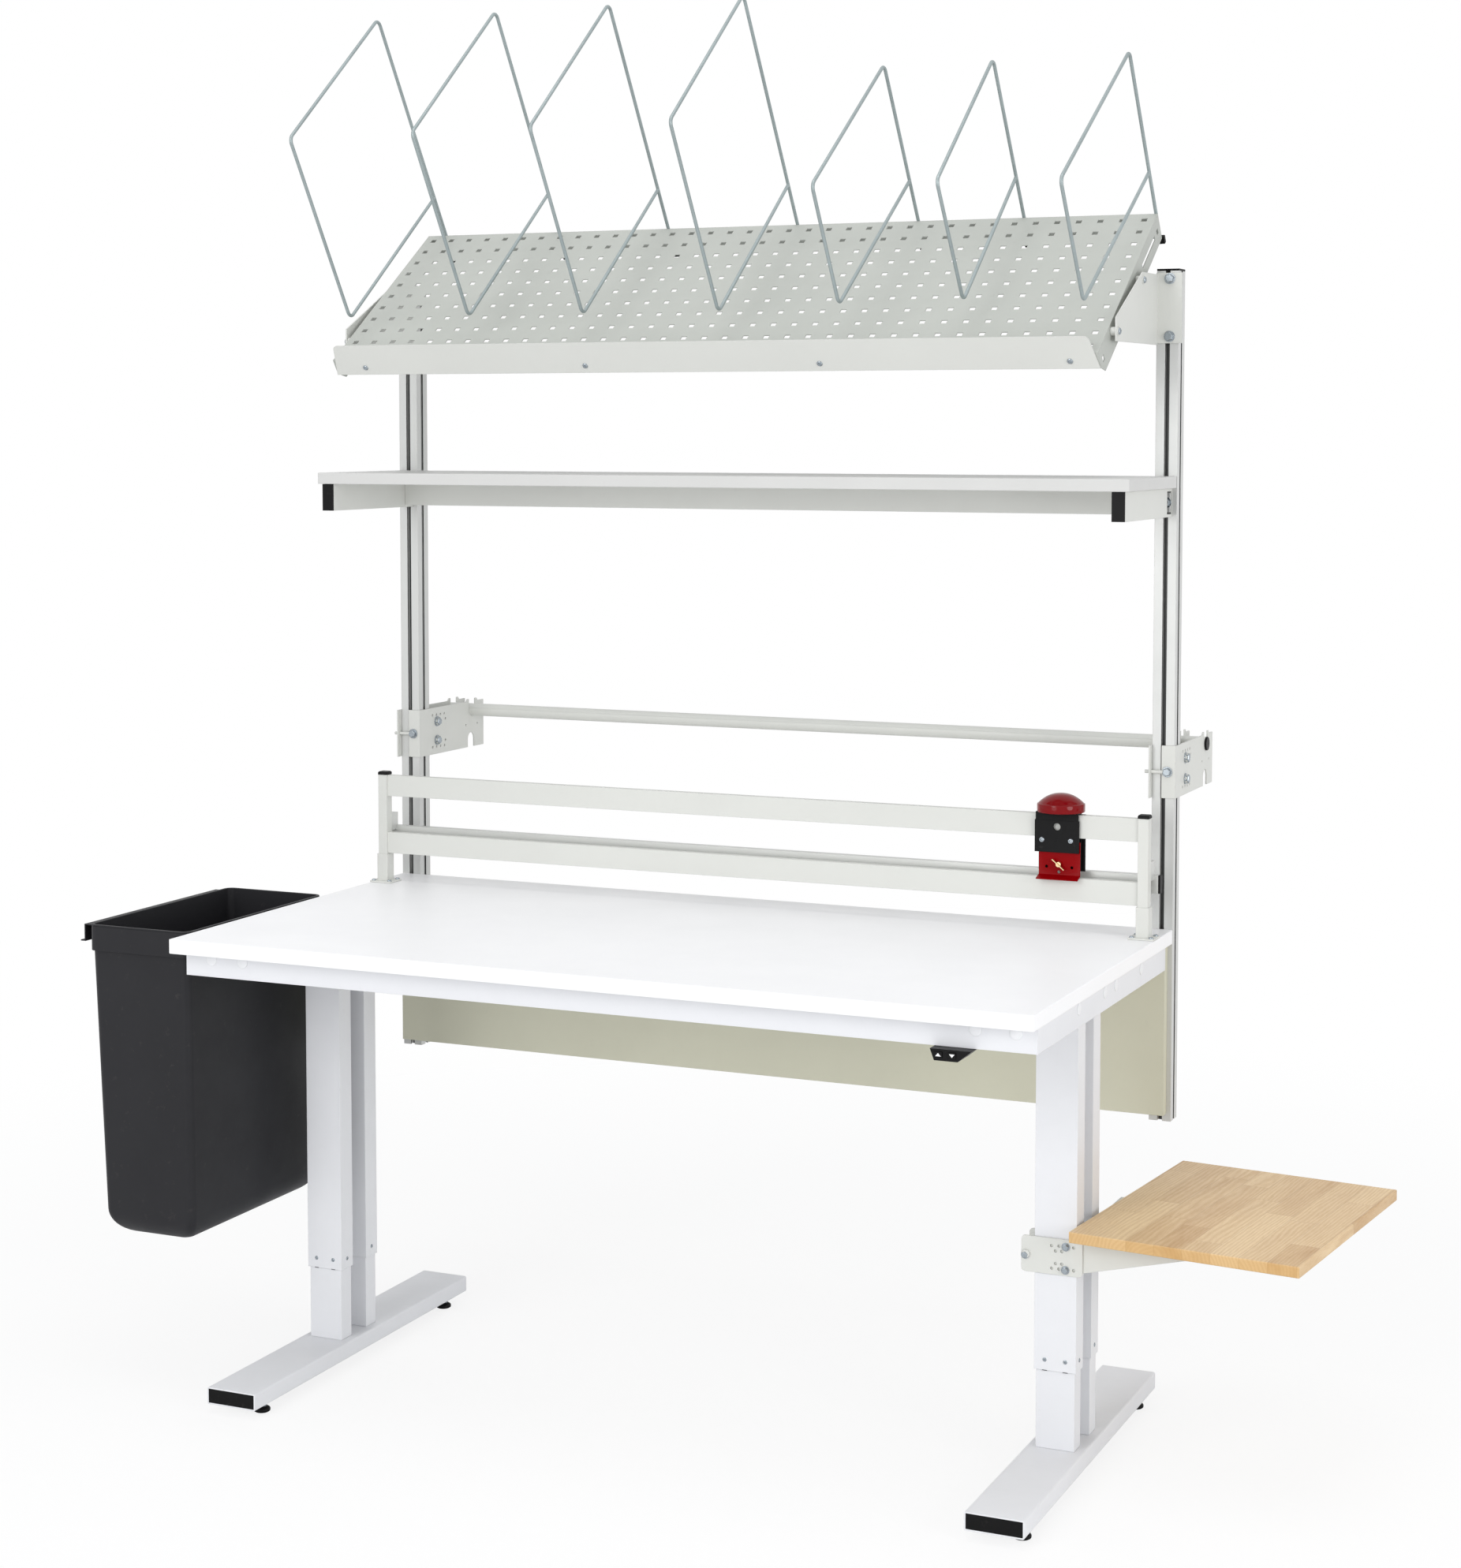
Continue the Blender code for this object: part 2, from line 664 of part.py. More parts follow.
def apron():
    # a ring of channel, open upwards to the worktop that covers it
    half = APRON_WIDTH / 2
    front, back = APRON_FRONT, PANEL_FRONT - GAP
    inner = COLUMN_OUT + GAP
    near, far = front + APRON_TUBE, back - APRON_TUBE
    steel = APRON_WALL
    skin = rect(-half, front, half, back)
    lining = rect(steel - half, front + steel, half - steel, back - steel)
    shore = rect(-inner - steel, near - steel, inner + steel, far + steel)
    room = rect(-inner, near, inner, far)
    bm = bmesh.new()

    def level(z):
        return lambda a, b: Vector((a, b, z))

    patch(bm, [skin, room], level(APRON_LOW))
    patch(bm, [lining, shore], level(APRON_LOW + steel))
    patch(bm, [skin, lining], level(SEAT))
    patch(bm, [shore, room], level(SEAT))
    for loop in (skin, room):
        wall(bm, loop, level(APRON_LOW), level(SEAT))
    for loop in (lining, shore):
        wall(bm, loop, level(APRON_LOW + steel), level(SEAT))
    piece("apron_frame", closed(bm), "white_steel", "lift_slide")


# Slotted posts
def post_outline(x, y):
    h = POST / 2
    room = h - SLOT_LIP
    side = [(-h, h), (-SLOT_HALF, h), (-SLOT_HALF, room), (-SLOT_ROOM, room),
            (-SLOT_ROOM, room - SLOT_WALL), (-SLOT_HALF, h - SLOT_DEEP)]
    side += [(-a, b) for a, b in reversed(side[1:])]
    points = []
    for k in range(4):
        c, s = math.cos(k * math.pi / 2), math.sin(k * math.pi / 2)
        points += [(x + a * c + b * s, y + b * c - a * s) for a, b in side]
    return points


def post(side, sign):
    x = sign * POST_SPREAD / 2
    y = POST_FRONT + POST / 2
    piece("post_" + side, slab("XY", POST_BOTTOM, POST_TOP, post_outline(x, y)),
          "aluminium", "lift_slide")
    low = POST_TOP + GAP
    piece("post_cap_" + side, slab("XY", low, low + POST_CAP, centred(x, y, POST, POST)),
          "black_plastic", "lift_slide")


# Upper shelf
def upper_shelf():
    half = TOP_WIDTH / 2
    back = POST_FRONT - SHELF_BACK
    board = box(-half, half, back - SHELF_DEEP, back, SHELF_HEIGHT - SHELF_THICK, SHELF_HEIGHT)
    soften(piece("shelf_board", board, "grey_board", "lift_slide"), TOP_ROUND)
    low = ARM_TOP - ARM_HIGH
    high = (ARM_TOP + low) / 2
    for side, sign in (("left", -1), ("right", 1)):
        x = sign * POST_SPREAD / 2
        hollow = centred(x, high, ARM_WIDE - 2 * ARM_WALL, ARM_HIGH - 2 * ARM_WALL)
        skin = centred(x, high, ARM_WIDE, ARM_HIGH)
        arm = piece("shelf_arm_" + side, slab("XZ", ARM_FRONT, ARM_BACK, skin, hollow),
                    "grey_steel", "lift_slide")
        rear = ARM_BACK - ARM_WINDOW_BACK
        window = centred(rear - ARM_WINDOW / 2, high, ARM_WINDOW, ARM_WINDOW_HIGH)
        cut(arm, slab("YZ", x, x + sign * (ARM_WIDE / 2 + OVER), window))
        front = ARM_FRONT - GAP
        piece("shelf_arm_cap_" + side, slab("XZ", front - ARM_CAP, front, skin),
              "black_plastic", "lift_slide")
    inner = POST_SPREAD / 2 - ARM_WIDE / 2 - GAP
    y = ARM_BACK - BEAM_BACK - BEAM_DEEP / 2
    z = ARM_TOP - BEAM_HIGH / 2
    hollow = centred(y, z, BEAM_DEEP - 2 * ARM_WALL, BEAM_HIGH - 2 * ARM_WALL)
    piece("shelf_beam", slab("YZ", -inner, inner, centred(y, z, BEAM_DEEP, BEAM_HIGH), hollow),
          "grey_steel", "lift_slide")


# Tilted shelf, drawn flat and turned with its parent
def sheet_holes():
    holes = []
    for row in range(ROWS_OF_HOLES):
        for k in range(COLUMNS_OF_HOLES):
            x = (k + 1 / 2) * PITCH - TRAY_WIDE / 2
            holes.append(centred(x, (row + 1 / 2) * PITCH, HOLE, HOLE))
    return holes


def side_openings():
    level = -SKIRT / 2
    front = centred(PITCH / 2, level, HOLE, HOLE)
    rear = centred(TRAY_DEEP - PITCH / 2, level, HOLE, HOLE)
    end = TRAY_DEEP - PITCH
    slot = rect(end - SIDE_SLOT_LONG, level - SIDE_SLOT / 2, end, level + SIDE_SLOT / 2)
    return [front, slot, rear]


def tray_mesh():
    # the sheet with skirts on four sides; the front skirt is the shortest
    bm = bmesh.new()
    half = TRAY_WIDE / 2
    near = half - SHEET
    back = TRAY_DEEP - SHEET
    holes = sheet_holes()
    openings = side_openings()

    def level(z):
        return lambda a, b: Vector((a, b, z))

    def upright(x):
        return lambda a, b: Vector((x, a, b))

    def across(y):
        return lambda a, b: Vector((a, y, b))

    patch(bm, [rect(-half, 0, half, TRAY_DEEP)] + holes, level(0))
    patch(bm, [rect(-near, SHEET, near, back)] + holes, level(-SHEET))
    for hole in holes:
        wall(bm, hole, level(0), level(-SHEET))
    corner = SKIRT - SKIRT_FRONT

    def slanted(a, b):
        return Vector((a, b, -SKIRT_FRONT - b))

    side = [(0, 0), (0, -SKIRT_FRONT), (corner, -SKIRT), (TRAY_DEEP, -SKIRT), (TRAY_DEEP, 0)]
    lining = [(SHEET, -SHEET), (back, -SHEET), (back, -SKIRT), (corner, -SKIRT),
              (0, -SKIRT_FRONT), (SHEET, -SKIRT_FRONT)]
    for sign in (-1, 1):
        patch(bm, [side] + openings, upright(sign * half))
        patch(bm, [lining] + openings, upright(sign * near))
        for opening in openings:
            wall(bm, opening, upright(sign * half), upright(sign * near))
        patch(bm, [rect(sign * near, 0, sign * half, corner)], slanted)
    front = [(near, -SKIRT_FRONT), (half, -SKIRT_FRONT), (half, 0)]
    patch(bm, [front + mirrored(reversed(front))], across(0))
    patch(bm, [rect(-near, -SKIRT_FRONT, near, -SHEET)], across(SHEET))
    patch(bm, [rect(-near, 0, near, SHEET)], level(-SKIRT_FRONT))
    patch(bm, [rect(-half, -SKIRT, half, 0)], across(TRAY_DEEP))
    patch(bm, [rect(-near, -SKIRT, near, -SHEET)], across(back))
    rim = [(near, back), (near, corner), (half, corner), (half, TRAY_DEEP)]
    patch(bm, [rim + mirrored(reversed(rim))], level(-SKIRT))
    return closed(bm)


def tilted_shelf():
    plane = home("tilted_plane", (0, TRAY_FRONT, TRAY_HEIGHT), "lift_slide")
    plane.rotation_euler = (TILT, 0, 0)
    HOMES["tilted_plane"] = Vector((0, 0, 0))
    piece("punched_shelf", tray_mesh(), "punched_steel", "tilted_plane")
    half = TRAY_WIDE / 2
    short = half - LIP_DRAFT
    right = [(half, -LIP_BELOW)]
    right += arc(short - LIP_ROUND, LIP_ABOVE - LIP_ROUND, LIP_ROUND, 0, math.pi / 2, 4)
    outline = right + [(-a, b) for a, b in reversed(right)]
    piece("front_lip", slab("XZ", -GAP - SHEET, -GAP, outline), "grey_steel", "tilted_plane")
    for k, share in enumerate(DIVIDER_X_SHARES):
        divider(k, share * half)


def divider(k, x):
    high, slope = TALL if DIVIDER_TALL[k] else SHORT
    foot_slope = TRAY_DEEP + WIRE_R + GAP
    lean = (slope - foot_slope) / high
    low_end = (foot_slope, -WIRE_FOOT)
    root = (foot_slope, SHEET)
    top = (slope, high)
    front = (FRONT_SLOPE_SHARES[k] * TRAY_DEEP, FRONT_HIGH_SHARES[k] * high)
    low = (LOW_SLOPE_SHARES[k] * TRAY_DEEP, LOW_HIGH_SHARES[k] * high)
    joint = (foot_slope + lean * JOINT_HIGH, JOINT_HIGH)
    onward = (Vector(joint) - Vector(low)).normalized()
    stub = Vector(low) + onward * (WIRE_BEND * 3)
    start = Vector(low) + onward * (WIRE_BEND * 2)
    frame = bent((root, top, front, low, stub), WIRE_BEND, 3)
    name = f"divider_{k + 1}"
    loop = piece(name, wire([Vector(low_end)] + frame, WIRE_R, 8, x), "zinc", "tilted_plane",
                 smooth=True)
    join(loop, wire((start, Vector(joint)), WIRE_R * THIN_SHARE, 8, x))


def tilt_bracket(side, sign):
    inner = POST_INSIDE
    outer = inner + CHEEK
    back = POST_FRONT - GAP
    cheek = [(back, CHEEK_LOW), (CHEEK_NEAR, CHEEK_LOW), (CHEEK_NEAR, CHEEK_LOW + CHEEK_FRONT_HIGH),
             (back - CHEEK_BACK_LONG, CHEEK_TOP), (back, CHEEK_TOP)]
    ear = rect(inner, CHEEK_LOW + CHEEK, inner + EAR_WIDE, CHEEK_TOP + CHEEK)
    reach = inner - TRAY_WIDE / 2 - GAP
    body = piece("tilt_bracket_" + side, slab("YZ", sign * inner, sign * outer, cheek),
                 "grey_steel", "lift_slide")
    ear = [(sign * a, b) for a, b in ear]
    bosses = ((back - CHEEK_BACK_LONG, CHEEK_TOP - BOSS_IN),
              (CHEEK_NEAR + BOSS_NEAR, CHEEK_LOW + BOSS_LOW))
    rods = []
    for y, z in bosses:
        x = inner - reach if sign > 0 else -outer - BOSS_HEAD
        rods.append(rod("X", (x, y, z), BOSS_R, reach + CHEEK + BOSS_HEAD, COARSE))
    join(body, slab("XZ", back - EAR_THICK, back, ear), *rods)


# Roll holders and roll tube
def holder_outline(front):
    # seen from the side, with the cradle of the tube at the top and the hook's slot below
    half = ROLL_R + RUN
    tab = HOLDER_TAB
    wing = half + tab
    top = HOLDER_TOP
    middle_y = HOLDER_END - HOOK_WIDE * 2
    outline = [(front, HOLDER_LOW), (front, top), (ROLL_Y - wing, top),
               (ROLL_Y - wing + tab / 2, top + tab / 2), (ROLL_Y - half, top + tab / 2)]
    outline += [(ROLL_Y - a, ROLL_HEIGHT - b) for a, b in arc(0, 0, half, 0, math.pi, 8)]
    outline += [(ROLL_Y + half, top + tab / 2), (ROLL_Y + wing - tab / 2, top + tab / 2),
                (ROLL_Y + wing, top), (HOLDER_END, top), (HOLDER_END, HOLDER_LOW),
                (middle_y + HOOK_WIDE / 2, HOLDER_LOW)]
    outline += arc(middle_y, HOLDER_LOW + HOOK_HIGH - HOOK_WIDE / 2, HOOK_WIDE / 2, 0, math.pi, 6)
    outline.append((middle_y - HOOK_WIDE / 2, HOLDER_LOW))
    return outline


def roll_holder(side, face):
    # face: the right side of the post, which stands between the holder's two plates
    front = POST_FRONT - GAP
    near = face + GAP
    right = near + HOLDER_PLATE
    far = face - POST - GAP
    left = far - HOLDER_PLATE
    plate = piece("roll_holder_" + side,
                  slab("YZ", near, right, holder_outline(front - HOLDER_PLATE)),
                  "grey_steel", "lift_slide")
    ear = box(right - HOLDER_EAR, right, front - HOLDER_PLATE, front, HOLDER_LOW, HOLDER_TOP)
    jaw = slab("YZ", left, far, holder_outline(front - HOLDER_JAW_OUT))
    middle_z = (HOLDER_LOW + HOLDER_TOP) / 2
    spot = (left - HOLDER_BOLT_OUT, front - HOLDER_PLATE - HOLDER_BOLT_R + GAP, middle_z)
    joined = [ear, jaw, rod("X", spot, HOLDER_BOLT_R, right - HOLDER_EAR / 2 - spot[0], COARSE)]
    back_y = POST_FRONT + POST + HOLDER_BOLT_BACK
    reach = right - left
    for z in (HOLDER_LOW + HOLDER_BOLT_UP, HOLDER_TOP - HOLDER_BOLT_UP):
        bolt = ((0, -HOLDER_NUT), (HOLDER_NUT_R, -HOLDER_NUT), (HOLDER_NUT_R, HOLDER_PLATE / 2),
                (HOLDER_BOLT_R, HOLDER_PLATE / 2), (HOLDER_BOLT_R, reach - HOLDER_PLATE / 2),
                (HOLDER_NUT_R, reach - HOLDER_PLATE / 2), (HOLDER_NUT_R, reach + HOLDER_NUT),
                (0, reach + HOLDER_NUT))
        joined.append(turned(bolt, COARSE, "X", (left, back_y, z)))
    join(plate, *joined)


def roll_tube():
    left = -POST_OUTSIDE - GAP - HOLDER_PLATE - ROLL_LEFT_OUT
    right = POST_OUTSIDE + GAP + HOLDER_PLATE
    spot = (left, ROLL_Y, ROLL_HEIGHT)
    home("roll_axis", spot, "lift_slide")
    bore = ROLL_R - ROLL_WALL
    length = right - left
    profile = ((bore, 0), (ROLL_R, 0), (ROLL_R, length), (bore, length), (bore, 0))
    piece("roll_tube", turned(profile, ROUND, "X", spot), "grey_steel", "roll_axis", spot, True)
    start = length - CAP_PLUG
    plug = bore - GAP
    lap = length + GAP
    profile = ((0, start), (plug, start), (plug, lap), (ROLL_R, lap), (ROLL_R, lap + ROLL_OUT),
               (0, lap + ROLL_OUT))
    piece("roll_plug", turned(profile, ROUND, "X", spot), "black_plastic", "roll_axis", spot, True)


# Film cutter
def cutter():
    half = CUTTER_SPREAD / 2
    arm = UPRIGHT / 2
    sleeve = SLEEVE / 2
    base = TOP_HEIGHT + GAP
    parts = []
    for x in (-half, half):
        parts.append(box(x - sleeve, x + sleeve, CUTTER_Y - sleeve, CUTTER_Y + sleeve,
                         base + FOOTING_THICK / 2, base + SLEEVE_HIGH))
        parts.append(box(x - FOOTING_WIDE / 2, x + FOOTING_WIDE / 2,
                         CUTTER_Y - FOOTING_DEEP / 2, CUTTER_Y + FOOTING_DEEP / 2,
                         base, base + FOOTING_THICK))
    for top in (BAR_UPPER, BAR_LOWER):
        parts.append(box(-half, half, BAR_FRONT, BAR_BACK, top - BAR_HIGH, top))
    low, high = base + FOOTING_THICK, BAR_UPPER + GAP
    parts.append(box(-half - arm, arm - half, CUTTER_Y - arm, CUTTER_Y + arm, low, high))
    frame = piece("cutter_frame", box(half - arm, half + arm, CUTTER_Y - arm, CUTTER_Y + arm,
                                      low, high), "grey_steel", "lift_slide")
    join(frame, *parts)
    front = CUTTER_Y + arm + RAIL_BACK
    tab_front = CUTTER_Y + arm + GAP
    rail = piece("cutter_rail", box(-RAIL_LONG / 2, RAIL_LONG / 2, front, front + RAIL_DEEP,
                                    RAIL_TOP - RAIL_HIGH, RAIL_TOP), "aluminium", "lift_slide")
    tabs = []
    for x in (-half, half):
        tabs.append(box(x - RAIL_TAB / 2, x + RAIL_TAB / 2, tab_front, front + RAIL_DEEP / 2,
                        RAIL_TOP - RAIL_HIGH / 4, RAIL_TOP + RAIL_TAB_UP))
    join(rail, *tabs)


def carriage():
    spot = (CARRIAGE_X, (BAR_FRONT + BAR_BACK) / 2, BAR_UPPER)
    home("carriage_slide", spot, "lift_slide")
    x = CARRIAGE_X
    half = CARRIAGE_WIDE / 2
    back = BACK_PLATE + PLATE
    hook = [(PLATE_FRONT, FRONT_LOW), (PLATE_FRONT, BRIDGE_TOP), (back, BRIDGE_TOP),
            (back, BACK_LOW), (BACK_PLATE, BACK_LOW), (BACK_PLATE, BRIDGE_LOW),
            (PLATE_BACK, BRIDGE_LOW), (PLATE_BACK, FRONT_LOW)]
    body = piece("carriage", slab("YZ", x - half, x + half, hook), "black_plastic",
                 "carriage_slide", spot)
    wide = CARRIAGE_BACK_WIDE / 2
    join(body, box(x - wide, x + wide, BACK_PLATE + GAP, back + GAP, BACK_LOW - GAP, BAR_UPPER))
    cut(body, rod("Y", (x, PLATE_FRONT - OVER, PEEP_HIGH), PEEP_R, OVER * 2, ROUND))
    half = GUARD_WIDE / 2
    middle_x = x + CARRIAGE_WIDE / 2 - half + GUARD_SIDE
    toe = [(GUARD_BACK, GUARD_LOW), (GUARD_BACK, GUARD_LOW + GUARD_UP),
           (GUARD_BACK - GUARD_PLATE, GUARD_LOW + GUARD_UP),
           (GUARD_BACK - GUARD_PLATE, GUARD_LOW + GUARD_PLATE),
           (GUARD_BACK - GUARD_PLATE - GUARD_TOE, GUARD_LOW + GUARD_PLATE),
           (GUARD_BACK - GUARD_PLATE - GUARD_TOE, GUARD_LOW)]
    guard = piece("blade_guard", slab("YZ", middle_x - half, middle_x + half, toe), "red",
                  "carriage_slide")
    centre = (middle_x, 0, WING_HIGH)
    cut(guard, rod("Y", (middle_x, GUARD_BACK - GUARD_PLATE - OVER, WING_HIGH),
                   WING_R + RUN, GUARD_PLATE + 2 * OVER, ROUND))
    wing_screw(centre)
    spot = (x + DOME_SIDE, (PLATE_FRONT + back) / 2, BRIDGE_TOP + GAP)
    rim = [(0, 0), (DOME_R, 0), (DOME_R, DOME_RIM)]
    crown = DOME_HIGH - DOME_RIM
    rim += [(DOME_R * math.cos(t), DOME_RIM + crown * math.sin(t))
            for t in (k * math.pi / 12 for k in range(1, 6))]
    rim += [(0, DOME_HIGH)]
    piece("dome_grip", turned(rim, FINE, "Z", spot), "red", "carriage_slide", spot, True)


def wing_screw(centre):
    face = GUARD_BACK - GUARD_PLATE - GAP
    spot = (centre[0], face - WING_HUB, centre[2])
    home("wing_axis", spot, "carriage_slide")
    profile = ((0, 0), (WING_HUB_R, 0), (WING_HUB_R, WING_HUB), (WING_R, WING_HUB),
               (WING_R, WING_HUB + GUARD_PLATE + GAP), (0, WING_HUB + GUARD_PLATE + GAP))
    screw = piece("wing_screw", turned(profile, ROUND, "Y", spot), "brass", "wing_axis", spot)
    c, s = math.cos(WING_TURN), -math.sin(WING_TURN)
    blade = centred(0, 0, WING_SPAN, WING_THICK)
    blade = [(spot[0] + a * c - b * s, spot[2] + a * s + b * c) for a, b in blade]
    join(screw, slab("XZ", spot[1] - WING_OUT / 2, spot[1] - WING_OUT / 2 + WING_BLADE, blade))


# Hand switch
def hand_switch():
    top = APRON_LOW - GAP
    low = top - SWITCH_HIGH
    right = SWITCH_LEFT + SWITCH_WIDE
    outline = [(SWITCH_LEFT, top), (right, top), (right - SWITCH_SLOPE_RIGHT, low),
               (SWITCH_LEFT + SWITCH_SLOPE_LEFT, low)]
    housing = piece("switch_housing",
                    slab("XZ", SWITCH_FRONT, SWITCH_FRONT + SWITCH_DEEP, outline),
                    "black_plastic", "lift_slide")
    z = top - SWITCH_HIGH / 2 + GAP
    depth = BUTTON_IN + BUTTON_TRAVEL + GAP
    for k, way in enumerate(("up", "down")):
        x = SWITCH_LEFT + BUTTON_LEFT + k * BUTTON_STEP
        room = centred(x, z, BUTTON_WIDE + 2 * GAP, BUTTON_HIGH + 2 * GAP)
        cut(housing, slab("XZ", SWITCH_FRONT - OVER, SWITCH_FRONT + depth, room))
        spot = (x, SWITCH_FRONT - BUTTON_OUT, z)
        home(f"button_{way}_slide", spot, "lift_slide")
        cap = slab("XZ", spot[1], SWITCH_FRONT + BUTTON_IN,
                   centred(x, z, BUTTON_WIDE, BUTTON_HIGH))
        piece("button_" + way, cap, "black_plastic", f"button_{way}_slide", spot)


# Bin and its steel frame
def bin_frame():
    skin = rounded(BIN_LEFT, BIN_NEAR, BIN_RIGHT, BIN_FAR, BAND_CORNER, 4)
    room = rounded(BIN_LEFT + BAND, BIN_NEAR + BAND, BIN_RIGHT - BAND, BIN_FAR - BAND,
                   BAND_CORNER - BAND, 4)
    frame = piece("bin_frame", slab("XY", BAND_LOW, BAND_TOP, skin, room), "black_plastic",
                  "lift_slide")
    near, far = BIN_NEAR + LEDGE_INSET, BIN_FAR - LEDGE_INSET
    out = BIN_LEFT - LEDGE_OUT
    low = BAND_TOP - LEDGE_DOWN
    inside = BAND / 2
    ledge = [(BIN_LEFT + inside, BAND_TOP - GAP), (out, BAND_TOP - GAP), (out, low + BAND),
             (out - LEDGE_TAB, low + BAND), (out - LEDGE_TAB, low), (out + BAND, low),
             (out + BAND, BAND_TOP - BAND), (BIN_LEFT + inside, BAND_TOP - BAND)]
    wall_x = -APRON_WIDTH / 2 - GAP
    top = SEAT - HANGER_DROP
    hook = [(wall_x, top), (wall_x, top - HANGER_HIGH),
            (wall_x - HANGER_PLATE, top - HANGER_HIGH),
            (wall_x - HANGER_PLATE, top - HANGER_PLATE),
            (BIN_RIGHT - inside, top - HANGER_PLATE), (BIN_RIGHT - inside, top)]
    start = BIN_NEAR + HANGER_INSET
    join(frame, slab("XZ", near, far, ledge), slab("XZ", start, start + HANGER_LONG, hook))


def bin_ring(bm, z, left, right, near, far, radius):
    points = rounded(left, near, right, far, radius, 4)
    return [bm.verts.new((x, y, z)) for x, y in points]


def waste_bin():
    bm = bmesh.new()
    inset = BAND + BIN_SLACK
    under = BIN_RIM - BIN_RIM_THICK
    tall = under - BIN_BASE

    def ring(z, less, radius):
        # the body narrows towards its base, and more on its left side
        share = max(0, min(1, (under - z) / tall))
        side = inset + less
        end = side + BIN_DRAFT * share
        return bin_ring(bm, z, BIN_LEFT + side + BIN_TAPER * share, BIN_RIGHT - side,
                        BIN_NEAR + end, BIN_FAR - end, radius)

    rings = []
    for k in range(5):
        turn = k * math.pi / 8
        z = BIN_BASE + BIN_FLOOR_R * (1 - math.cos(turn))
        rings.append(ring(z, BIN_FLOOR_R * (1 - math.sin(turn)), BIN_CORNER))
    rings.append(ring(under, 0, BIN_CORNER))
    rings.append(bin_ring(bm, under, BIN_LEFT, BIN_RIGHT, BIN_NEAR, BIN_FAR, BAND_CORNER))
    rings.append(bin_ring(bm, BIN_RIM, BIN_LEFT, BIN_RIGHT, BIN_NEAR, BIN_FAR, BAND_CORNER))
    inner = BIN_CORNER - BIN_WALL
    rings.append(ring(BIN_RIM, BIN_WALL, inner))
    bend = BIN_FLOOR_R - BIN_WALL
    for k in range(4, -1, -1):
        turn = k * math.pi / 8
        z = BIN_BASE + BIN_WALL + bend * (1 - math.cos(turn))
        rings.append(ring(z, BIN_WALL + bend * (1 - math.sin(turn)), inner))
    for low, high in zip(rings, rings[1:]):
        count = len(low)
        for k in range(count):
            n = (k + 1) % count
            bm.faces.new((low[k], low[n], high[n], high[k]))
    bm.faces.new(rings[0])
    bm.faces.new(rings[-1])
    home("bin_lift", (BIN_RIGHT - BIN_WIDE / 2, BIN_NEAR + BIN_DEEP / 2, BIN_RIM), "lift_slide")
    piece("bin", closed(bm), "bin_plastic", "bin_lift", HOMES["bin_lift"], True)


# Side board
def side_board():
    turn = home("board_turn", (BOARD_X, BOARD_Y, BOARD_HEIGHT), "lift_slide")
    turn.rotation_euler = (0, 0, BOARD_TURN)
    HOMES["board_turn"] = Vector((0, 0, 0))
    wide, deep = BOARD_WIDE / 2, BOARD_DEEP / 2
    board = piece("side_board", box(-wide, wide, -deep, deep, -BOARD_THICK, 0), "wood",
                  "board_turn")
    soften(board, BOARD_ROUND)
    left = COLUMN_OUT + GAP
    right = left + BOARD_ARM_LONG
    low = ARM_SEAT - BOARD_ARM_DROP
    wedge = [(left, ARM_SEAT), (right, ARM_SEAT), (right, ARM_SEAT - ARM_PLATE), (left, low)]
    front = COLUMN_FRONT
    arm = piece("board_arm", slab("XZ", front, front + ARM_PLATE, wedge), "grey_steel",
                "lift_slide")
    second = front + COLUMN_STEP
    over = GAP
    join(arm, box(left + over, right - over, front + over, front + BOARD_ARM_DEEP,
                  ARM_SEAT - ARM_PLATE, ARM_SEAT - over),
         slab("XZ", second, second + ARM_PLATE,
              [(left + over * 2, ARM_SEAT - over * 2), (right - over * 2, ARM_SEAT - over * 2),
               (right - over * 2, ARM_SEAT - ARM_PLATE - over), (left + over * 2, low)]),
         box(left + over * 3, left + ARM_PLATE, front + over * 2, front + COLUMN_DEEP,
             low + over, ARM_SEAT - over * 3))
    board_clamp(left + CLAMP_LAP)


def board_clamp(right):
    left = right - CLAMP_WIDE
    top = CLAMP_LOW + CLAMP_HIGH
    outline = rounded(left, CLAMP_LOW, right, top, CLAMP_ROUND, 3)
    front = COLUMN_FRONT - GAP
    back = COLUMN_FRONT + COLUMN_DEEP + GAP
    clamp = piece("board_clamp", slab("XZ", front - CLAMP_PLATE, front, outline), "grey_steel",
                  "lift_slide")
    x, z = left + CLAMP_BOLT_IN, (CLAMP_LOW + top) / 2
    head = front - CLAMP_PLATE - CLAMP_HEAD
    join(clamp, slab("XZ", back, back + CLAMP_PLATE, outline),
         rod("Y", (x, head + CLAMP_HEAD / 2, z), CLAMP_BOLT_R,
             back + CLAMP_PLATE + CLAMP_HEAD - head, COARSE),
         rod("Y", (x, head, z), CLAMP_HEAD_R, CLAMP_HEAD + CLAMP_PLATE / 2, COARSE))


def build():
    for thing in list(bpy.data.objects):
        bpy.data.objects.remove(thing)
    frame = home("table_frame", (0, 0, 0))
    home("lift_slide", (0, COLUMN_FRONT + (COLUMN_STEP + COLUMN_DEEP) / 2, FOOT_TOP),
         "table_frame")
    for side, sign in (("left", -1), ("right", 1)):
        foot(side, sign)
        column(side, sign, "front", COLUMN_FRONT)
        column(side, sign, "rear", COLUMN_FRONT + COLUMN_STEP)
        post(side, sign)
        tilt_bracket(side, sign)
    worktop()
    upper_shelf()
    tilted_shelf()
    roll_holder("left", -POST_INSIDE)
    roll_holder("right", POST_OUTSIDE)
    roll_tube()
    cutter()
    carriage()
    hand_switch()
    bin_frame()
    waste_bin()
    side_board()
    frame.location = -Vector(MIDDLE)


build()
